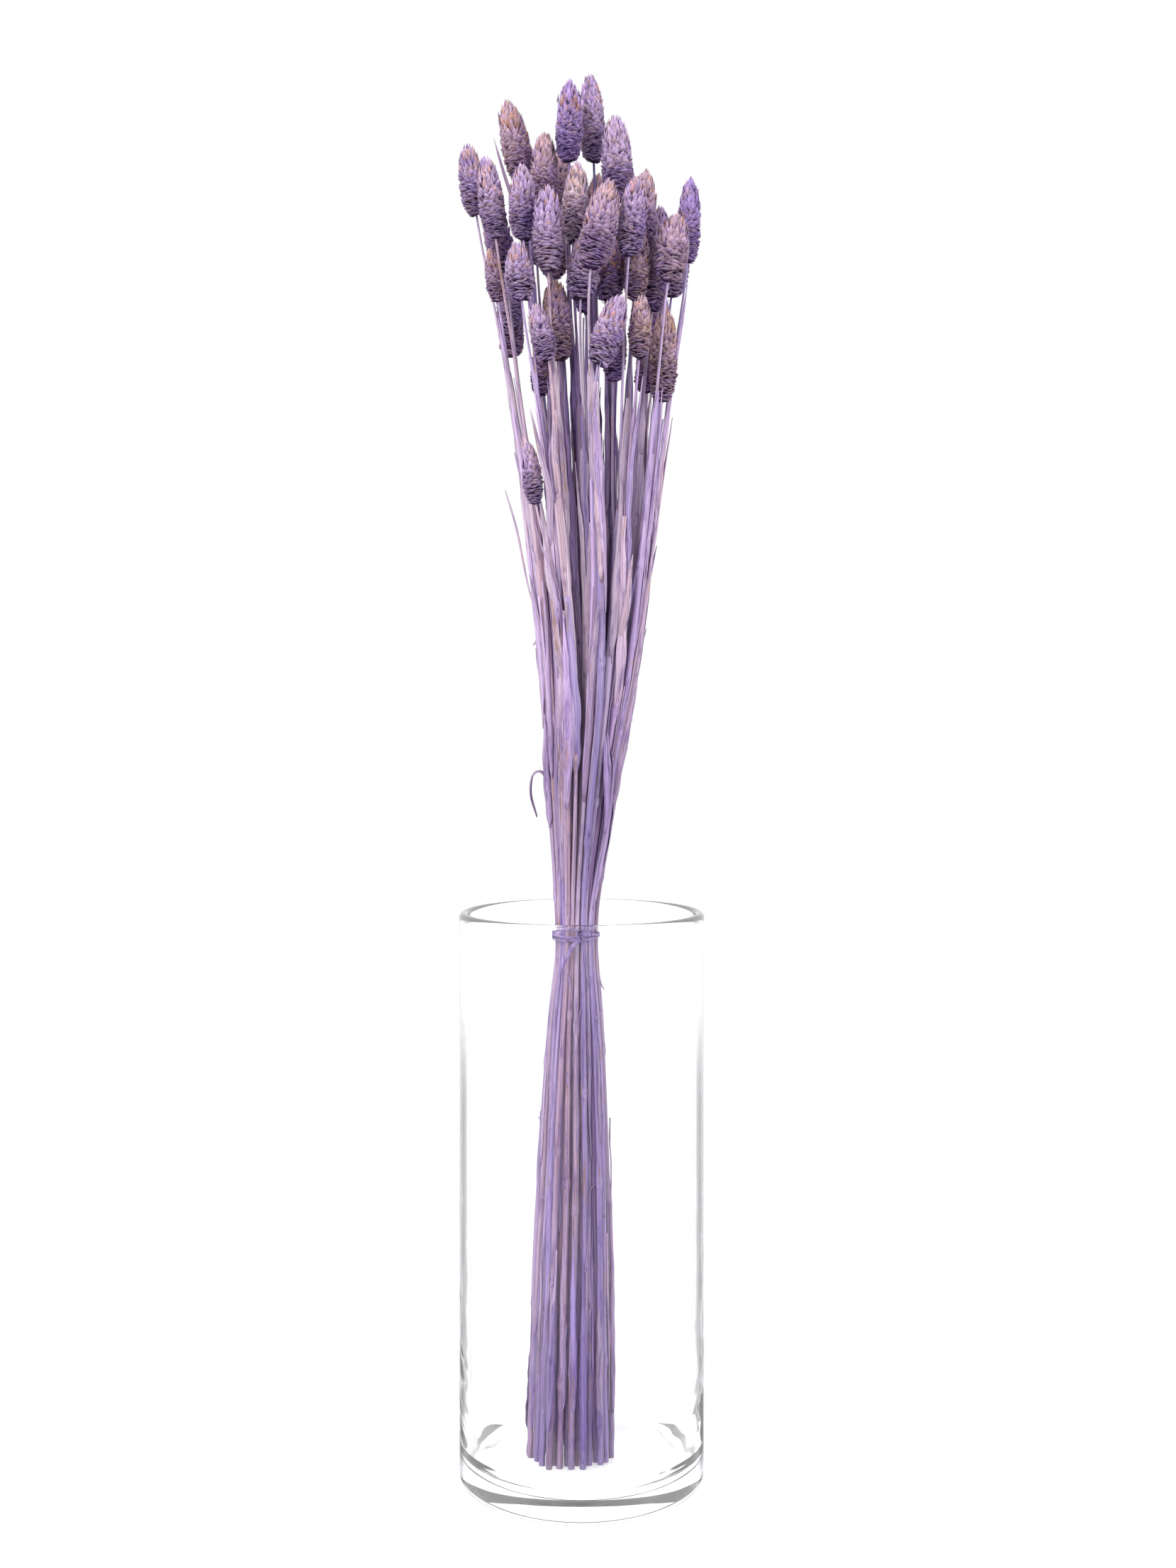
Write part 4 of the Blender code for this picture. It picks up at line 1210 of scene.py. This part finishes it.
def knot_path(inner):
    """The knot: a loop and a third, upright on the turns at the front."""
    loop = np.linspace(0, 2 * math.pi * 1.3, 60)
    bearing = math.radians(END_POINTS[0][0]) + 0.10 * np.cos(loop)
    reach = inner + 1.1 + 0.4 * np.sin(2 * loop)
    rise = TIE_HEIGHT + 1.9 * np.sin(loop)
    return np.column_stack([reach * np.cos(bearing), reach * np.sin(bearing), rise])


def end_surface(inner, place):
    """The loose end, as surface and grain: a flat strip that leaves the knot and droops."""
    steps = np.linspace(0, 2, 24)
    bearings, outs, ups = (np.interp(steps, (0, 1, 2), marks) for marks in zip(*END_POINTS))
    bearings = np.radians(bearings)
    away = np.column_stack([np.cos(bearings), np.sin(bearings), 0 * steps])
    middles = place + away * (inner + 0.6 + outs)[:, None] + np.outer(TIE_HEIGHT + ups, (0, 0, 1))
    side = np.cross(away, (0, 0, 1)) * 0.5 + np.array((0, 0, 0.85))
    widths = np.interp(steps, (0, 1, 2), (1.6, 2.6, 0.9))
    return strip(middles, side, widths, cup=0.25, thickness=0.35)


class GRASS_OT_binding(bpy.types.Operator):
    """Builds the cord round the stems, its knot and its loose end"""

    bl_idname = "dried_grass.binding"
    bl_label = "Binding"

    def execute(self, context):
        settings = context.scene.grass_binding
        stems, _ = bunch()
        inner = max(np.linalg.norm(tied_place(stem)) for stem in stems) + TIED_RADIUS + 0.1
        place = np.array((*TIE_MIDDLE, 0.0))
        turns, knot = wound_path(inner, settings.turns) + place, knot_path(inner) + place
        starts = 2 * math.pi * np.arange(3) / 3
        shapes = Shapes()
        for surface, grain in (
            *(ply_surface(turns, radius=0.3, pitch=9.0, start=start) for start in starts),
            ply_surface(knot, radius=0.4, pitch=4.0, start=0.0),
            end_surface(inner, place),
        ):
            shapes.add(surface, grain=grain)
        cord = shapes.piece("raffia_binding", [raffia_material(settings.colour)])
        ride_for(cord, "tie")
        return {"FINISHED"}


BUNCH = []


def bunch():
    """The settled plan, worked out once and checked against the solids' tops."""
    if not BUNCH:
        BUNCH.extend(plan_bunch())
        for stem in BUNCH[0]:
            top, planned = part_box(f"stem_{stem.number:02d}")[1][2] / MM, stem.heights[TIP]
            if abs(top - planned) > 3.0:
                raise RuntimeError(f"stem {stem.number} ends at {planned:.1f}, its solid at {top:.1f}")
    return BUNCH


def loose_surfaces(stem, settings, random):
    """The stem's dry strips, torn bits and loose fibre, each as surface and grain."""
    outward = stem.line[FANNED] - TIE_MIDDLE
    facing = math.atan2(outward[1], outward[0])
    top = stem.heights[NECK] - 8
    made = []
    for _ in range(settings.strips):
        root = random.uniform(STRIP_ROOTS[0], min(STRIP_ROOTS[1], top - 40))
        length = min(random.uniform(*STRIP_LENGTHS), top - root)
        bearing = facing + random.uniform(-1.6, 1.6)
        width, lift = random.uniform(*STRIP_WIDTHS), random.uniform(*STRIP_LIFTS)
        made.append(wrap_surface(stem, root, length, width, bearing, lift, random))
    root, width = stem.foot + random.uniform(*FOOT_ROOTS), random.uniform(*FOOT_WIDTHS)
    bearing = facing + random.uniform(-1.5, 1.5)
    length, lift = random.uniform(*FOOT_LENGTHS), random.uniform(*FOOT_LIFTS)
    made.append(wrap_surface(stem, root, length, width, bearing, lift, random))
    if np.linalg.norm(tied_place(stem)) > OUTER_SEAT:
        root = max(random.uniform(*LOW_ROOTS), stem.foot + 4)
        width, lift = random.uniform(*LOW_WIDTHS), random.uniform(*LOW_LIFTS)
        length = random.uniform(*LOW_LENGTHS)
        made.append(wrap_surface(stem, root, length, width, facing, lift, random))
        made.extend(torn_surface(stem, random) for _ in range(settings.flakes))
    if stem.number % settings.filaments == 0:
        root = random.uniform(*FIBRE_ROOTS)
        length = min(random.uniform(*FIBRE_LENGTHS), top + 20 - root)
        bearing, lift = facing + random.uniform(-0.8, 0.8), random.uniform(*FIBRE_LIFTS)
        made.append(wrap_surface(stem, root, length, FIBRE_WIDTH, bearing, lift, random))
    return made


def rooted_leaf(blade, random):
    """A leaf blade that starts inside its stem, a little below where it comes out."""
    stem = blade.stem
    root = blade.heights[0] - BLADE_ROOT_DEPTH
    line = np.vstack([smooth(stem.heights, stem.line, np.array([root])), blade.line])
    heights = np.append(root, blade.heights)
    return leaf_surface(heights, line, blade.breadth, line[-1] - TIE_MIDDLE, random)


def faded(surface, depth):
    """How much painted light a surface keeps, from its height and its depth in the bunch; the rest is
    painted shade.
    """
    return np.clip(depth * np.interp(surface[0][:, 2], PAINTED_SHADE_HEIGHTS, PAINTED_LIGHT_LEVELS), 0, 1)


def stem_shapes(stem, leaves_of, settings, curled):
    """All surfaces of one stem: culm, sheath mouth, loose sheath, leaves and seed head."""
    random = np.random.default_rng(SEED + stem.number)
    shapes = Shapes()
    seat = tied_place(stem)
    # Painted shade: stems deep inside the bunch and at its back get a lower depth, so the dye's alpha
    # paints them darker
    depth = 0.25 + 0.8 * ease(np.linalg.norm(seat), 2.5, 7.5)
    depth = depth * (1 - 0.45 * ease(seat[1], 0.0, 6.0))
    tone = CULM_DYES[stem.number % len(CULM_DYES)]
    tone = tone * random.normal(1.0, 0.1) * (1 + random.normal(0, 0.03, 3))
    surface, shade, grain = culm_surface(stem, random)
    above = ease(surface[0][:, 2:], stem.mouth - 5, stem.mouth + 20)
    shapes.add(surface, CULM, tone * (1 + 0.1 * above), shade, grain, faded(surface, depth))
    surface, grain = mouth_surface(stem, random)
    shapes.add(surface, LEAF, tone * 1.05, 0.6, grain, faded(surface, depth))
    leaves = loose_surfaces(stem, settings, random)
    leaves += [rooted_leaf(blade, random) for blade in leaves_of]
    if curled:
        leaves.append(curl_surface(stem))
    for surface, grain in leaves:
        dye = CULM_DYES[random.integers(len(CULM_DYES))] * random.uniform(0.85, 1.15)
        # Leaves take the same painted shade, varied at random
        fade = faded(surface, min(depth * random.uniform(0.6, 1.6), 1.2))
        shapes.add(surface, LEAF, dye, 0.6, grain, fade)
    if stem.width:
        head_husks(shapes, stem, random)
    return shapes


class GRASS_OT_stems(bpy.types.Operator):
    """Builds every stem with its sheath, leaves and seed head"""

    bl_idname = "dried_grass.stems"
    bl_label = "Grass stems"

    def execute(self, context):
        settings = context.scene.grass_stems
        stems, blades = bunch()
        finishes = [
            straw_material("dyed_culm", settings.fibres, 0.5, 0.8),
            straw_material("dyed_leaf", settings.fibres, 0.62, 0.6),
            husk_material(),
        ]
        at_curl = [np.interp(CURL_HEIGHT, stem.heights, stem.line[:, 0]) for stem in stems]
        leftmost = stems[int(np.argmin(at_curl))]
        for stem in stems:
            leaves_of = [blade for blade in blades if blade.stem is stem]
            shapes = stem_shapes(stem, leaves_of, settings, stem is leftmost)
            grass = shapes.piece(f"grass_{stem.number:02d}", finishes)
            ride_for(grass, f"stem_{stem.number:02d}")
        return {"FINISHED"}


def area_light(name, place, target, size, power):
    """A square soft light at a place, turned to a target."""
    light = bpy.data.lights.new(name, "AREA")
    light.size, light.energy = size, power
    thing = bpy.data.objects.new(name, light)
    thing.location = place
    thing.rotation_euler = (Vector(target) - Vector(place)).to_track_quat("-Z", "Y").to_euler()
    bpy.context.scene.collection.objects.link(thing)


def white_surround(strength):
    """The studio round the object: white to the camera, with darker parts that the glass mirrors.

    Below eye height a gap stands 30 degrees to either side of the room's length, in front and
    behind: clear glass needs it to show its edges. The front end of the room is dark too, so
    that the glass doesn't veil what stands in it. Neither shows straight through the glass or
    dims the light on the grass, which comes a little weaker from below.
    """
    world = bpy.data.worlds.new("white_studio")
    bpy.context.scene.world = world
    world.use_nodes = True
    tree = world.node_tree
    tree.nodes.clear()
    output = tree.nodes.new("ShaderNodeOutputWorld")
    way = add_node(tree, "ShaderNodeTexCoord").outputs["Generated"]
    parts = add_node(tree, "ShaderNodeSeparateXYZ", links={"Vector": way})
    level = parts.outputs["Z"]
    lengthways = worked(tree, "ABSOLUTE", parts.outputs["Y"], 0.0)
    sideways = worked(tree, "ABSOLUTE", parts.outputs["X"], 0.0)
    bearing = worked(tree, "ARCTAN2", sideways, lengthways)
    gap = spread(tree, bearing, 0.30, 0.45)
    gap = worked(tree, "MULTIPLY", gap, spread(tree, bearing, 0.54, 0.76, 0.72, 0.0))
    gap = worked(tree, "MULTIPLY", gap, spread(tree, level, -0.22, -0.14, 1.0, 0.0))
    front = spread(tree, parts.outputs["Y"], -0.7, -0.3, 0.9, 0.0)
    under = spread(tree, level, -0.1, 0.05, 0.45, 0.0)
    paths = add_node(tree, "ShaderNodeLightPath").outputs
    mirrored = worked(tree, "GREATER_THAN", paths["Glossy Depth"], 0.5)
    undimmed = worked(tree, "SUBTRACT", 1.0, paths["Is Diffuse Ray"])
    mirrored = worked(tree, "MULTIPLY", mirrored, undimmed)
    room = strength
    for darker, seen in (
        (worked(tree, "MAXIMUM", gap, front), mirrored),
        (under, paths["Is Diffuse Ray"]),
    ):
        dimmed = worked(tree, "SUBTRACT", 1.0, worked(tree, "MULTIPLY", darker, seen))
        room = worked(tree, "MULTIPLY", room, dimmed)
    white_light = {"Color": (1, 1, 1, 1)}
    lights = add_node(tree, "ShaderNodeBackground", values=white_light, links={"Strength": room})
    white = add_node(tree, "ShaderNodeBackground", values={"Color": (1, 1, 1, 1), "Strength": 1.0})
    mix = add_node(
        tree,
        "ShaderNodeMixShader",
        links={0: paths["Is Camera Ray"], 1: lights.outputs[0], 2: white.outputs[0]},
    )
    tree.links.new(mix.outputs[0], output.inputs["Surface"])


def white_floor(radius):
    """A matt white disc under the vase, so bright that its edge is lost in the surround.

    The grass takes no light from it and the glass doesn't mirror it.
    """
    mesh = bpy.data.meshes.new("floor")
    out = around(96)[1]
    mesh.from_pydata(out * radius, [], [range(len(out))])
    material, tree, output = new_material("white_paint")
    values = {
        "Base Color": (0.92, 0.92, 0.92, 1),
        "Roughness": 0.9,
        "Specular IOR Level": 0.0,
        "Emission Color": (1, 1, 1, 1),
        "Emission Strength": 0.35,
    }
    shader = add_node(tree, "ShaderNodeBsdfPrincipled", values=values)
    tree.links.new(shader.outputs["BSDF"], output.inputs["Surface"])
    mesh.materials.append(material)
    floor = bpy.data.objects.new("floor", mesh)
    bpy.context.scene.collection.objects.link(floor)
    floor.visible_diffuse = floor.visible_glossy = False
    return floor


def front_camera(lens):
    """The camera, level and square to the bunch, shifted down to hold all of it."""
    camera = bpy.data.objects.new("camera", bpy.data.cameras.new("camera"))
    camera.data.sensor_width, camera.data.lens = 36.0, lens
    camera.data.shift_y = CAMERA_SHIFT
    camera.location = (VIEW_X * MM, -VIEW_DISTANCE * MM, VIEW_HEIGHT * MM)
    camera.rotation_euler = (math.radians(90), 0, 0)
    bpy.context.scene.collection.objects.link(camera)
    bpy.context.scene.camera = camera


class GRASS_OT_studio(bpy.types.Operator):
    """Builds the floor, the lights and the camera"""

    bl_idname = "dried_grass.studio"
    bl_label = "Studio"

    def execute(self, context):
        settings = context.scene.grass_studio
        floor = white_floor(settings.floor)
        white_surround(settings.surround)
        middle = (0.0, 0.0, 0.35)
        area_light("key", (-0.9, -1.3, 1.5), middle, 1.0, settings.key_power)
        area_light("fill", (1.3, -0.9, 0.8), middle, 1.2, settings.fill_power)
        front_camera(settings.lens)
        context.scene.view_settings.view_transform = "Standard"
        return {"FINISHED"}


class GRASS_PT_panel(bpy.types.Panel):
    """Lists the sizes, colours and builders in the sidebar"""

    bl_idname = "GRASS_PT_panel"
    bl_label = "Dried grass"
    bl_space_type = "VIEW_3D"
    bl_region_type = "UI"
    bl_category = "Dried grass"

    def draw(self, context):
        for owner, operator in SECTIONS.items():
            box = self.layout.box()
            settings = getattr(context.scene, owner)
            for name in settings.__annotations__:
                box.prop(settings, name)
            box.operator(operator.bl_idname)


SECTIONS = {
    "grass_stems": GRASS_OT_stems,
    "grass_binding": GRASS_OT_binding,
    "grass_vase": GRASS_OT_vase,
    "grass_studio": GRASS_OT_studio,
}
GROUPS = {
    "grass_stems": GrassSettings,
    "grass_binding": BindingSettings,
    "grass_vase": VaseSettings,
    "grass_studio": StudioSettings,
}
CLASSES = (*GROUPS.values(), *SECTIONS.values(), GRASS_PT_panel)


def register():
    """Adds the classes, and each group of settings to the scene."""
    for kind in CLASSES:
        bpy.utils.register_class(kind)
    for name, group in GROUPS.items():
        setattr(bpy.types.Scene, name, bpy.props.PointerProperty(type=group))


def unregister():
    """Takes them off again, the last one first."""
    for name in GROUPS:
        delattr(bpy.types.Scene, name)
    for kind in reversed(CLASSES):
        bpy.utils.unregister_class(kind)


def main():
    """Builds all pieces and the stage."""
    register()
    bpy.ops.dried_grass.stems()
    bpy.ops.dried_grass.binding()
    bpy.ops.dried_grass.vase()
    bpy.ops.dried_grass.studio()


if __name__ == "__main__":
    main()
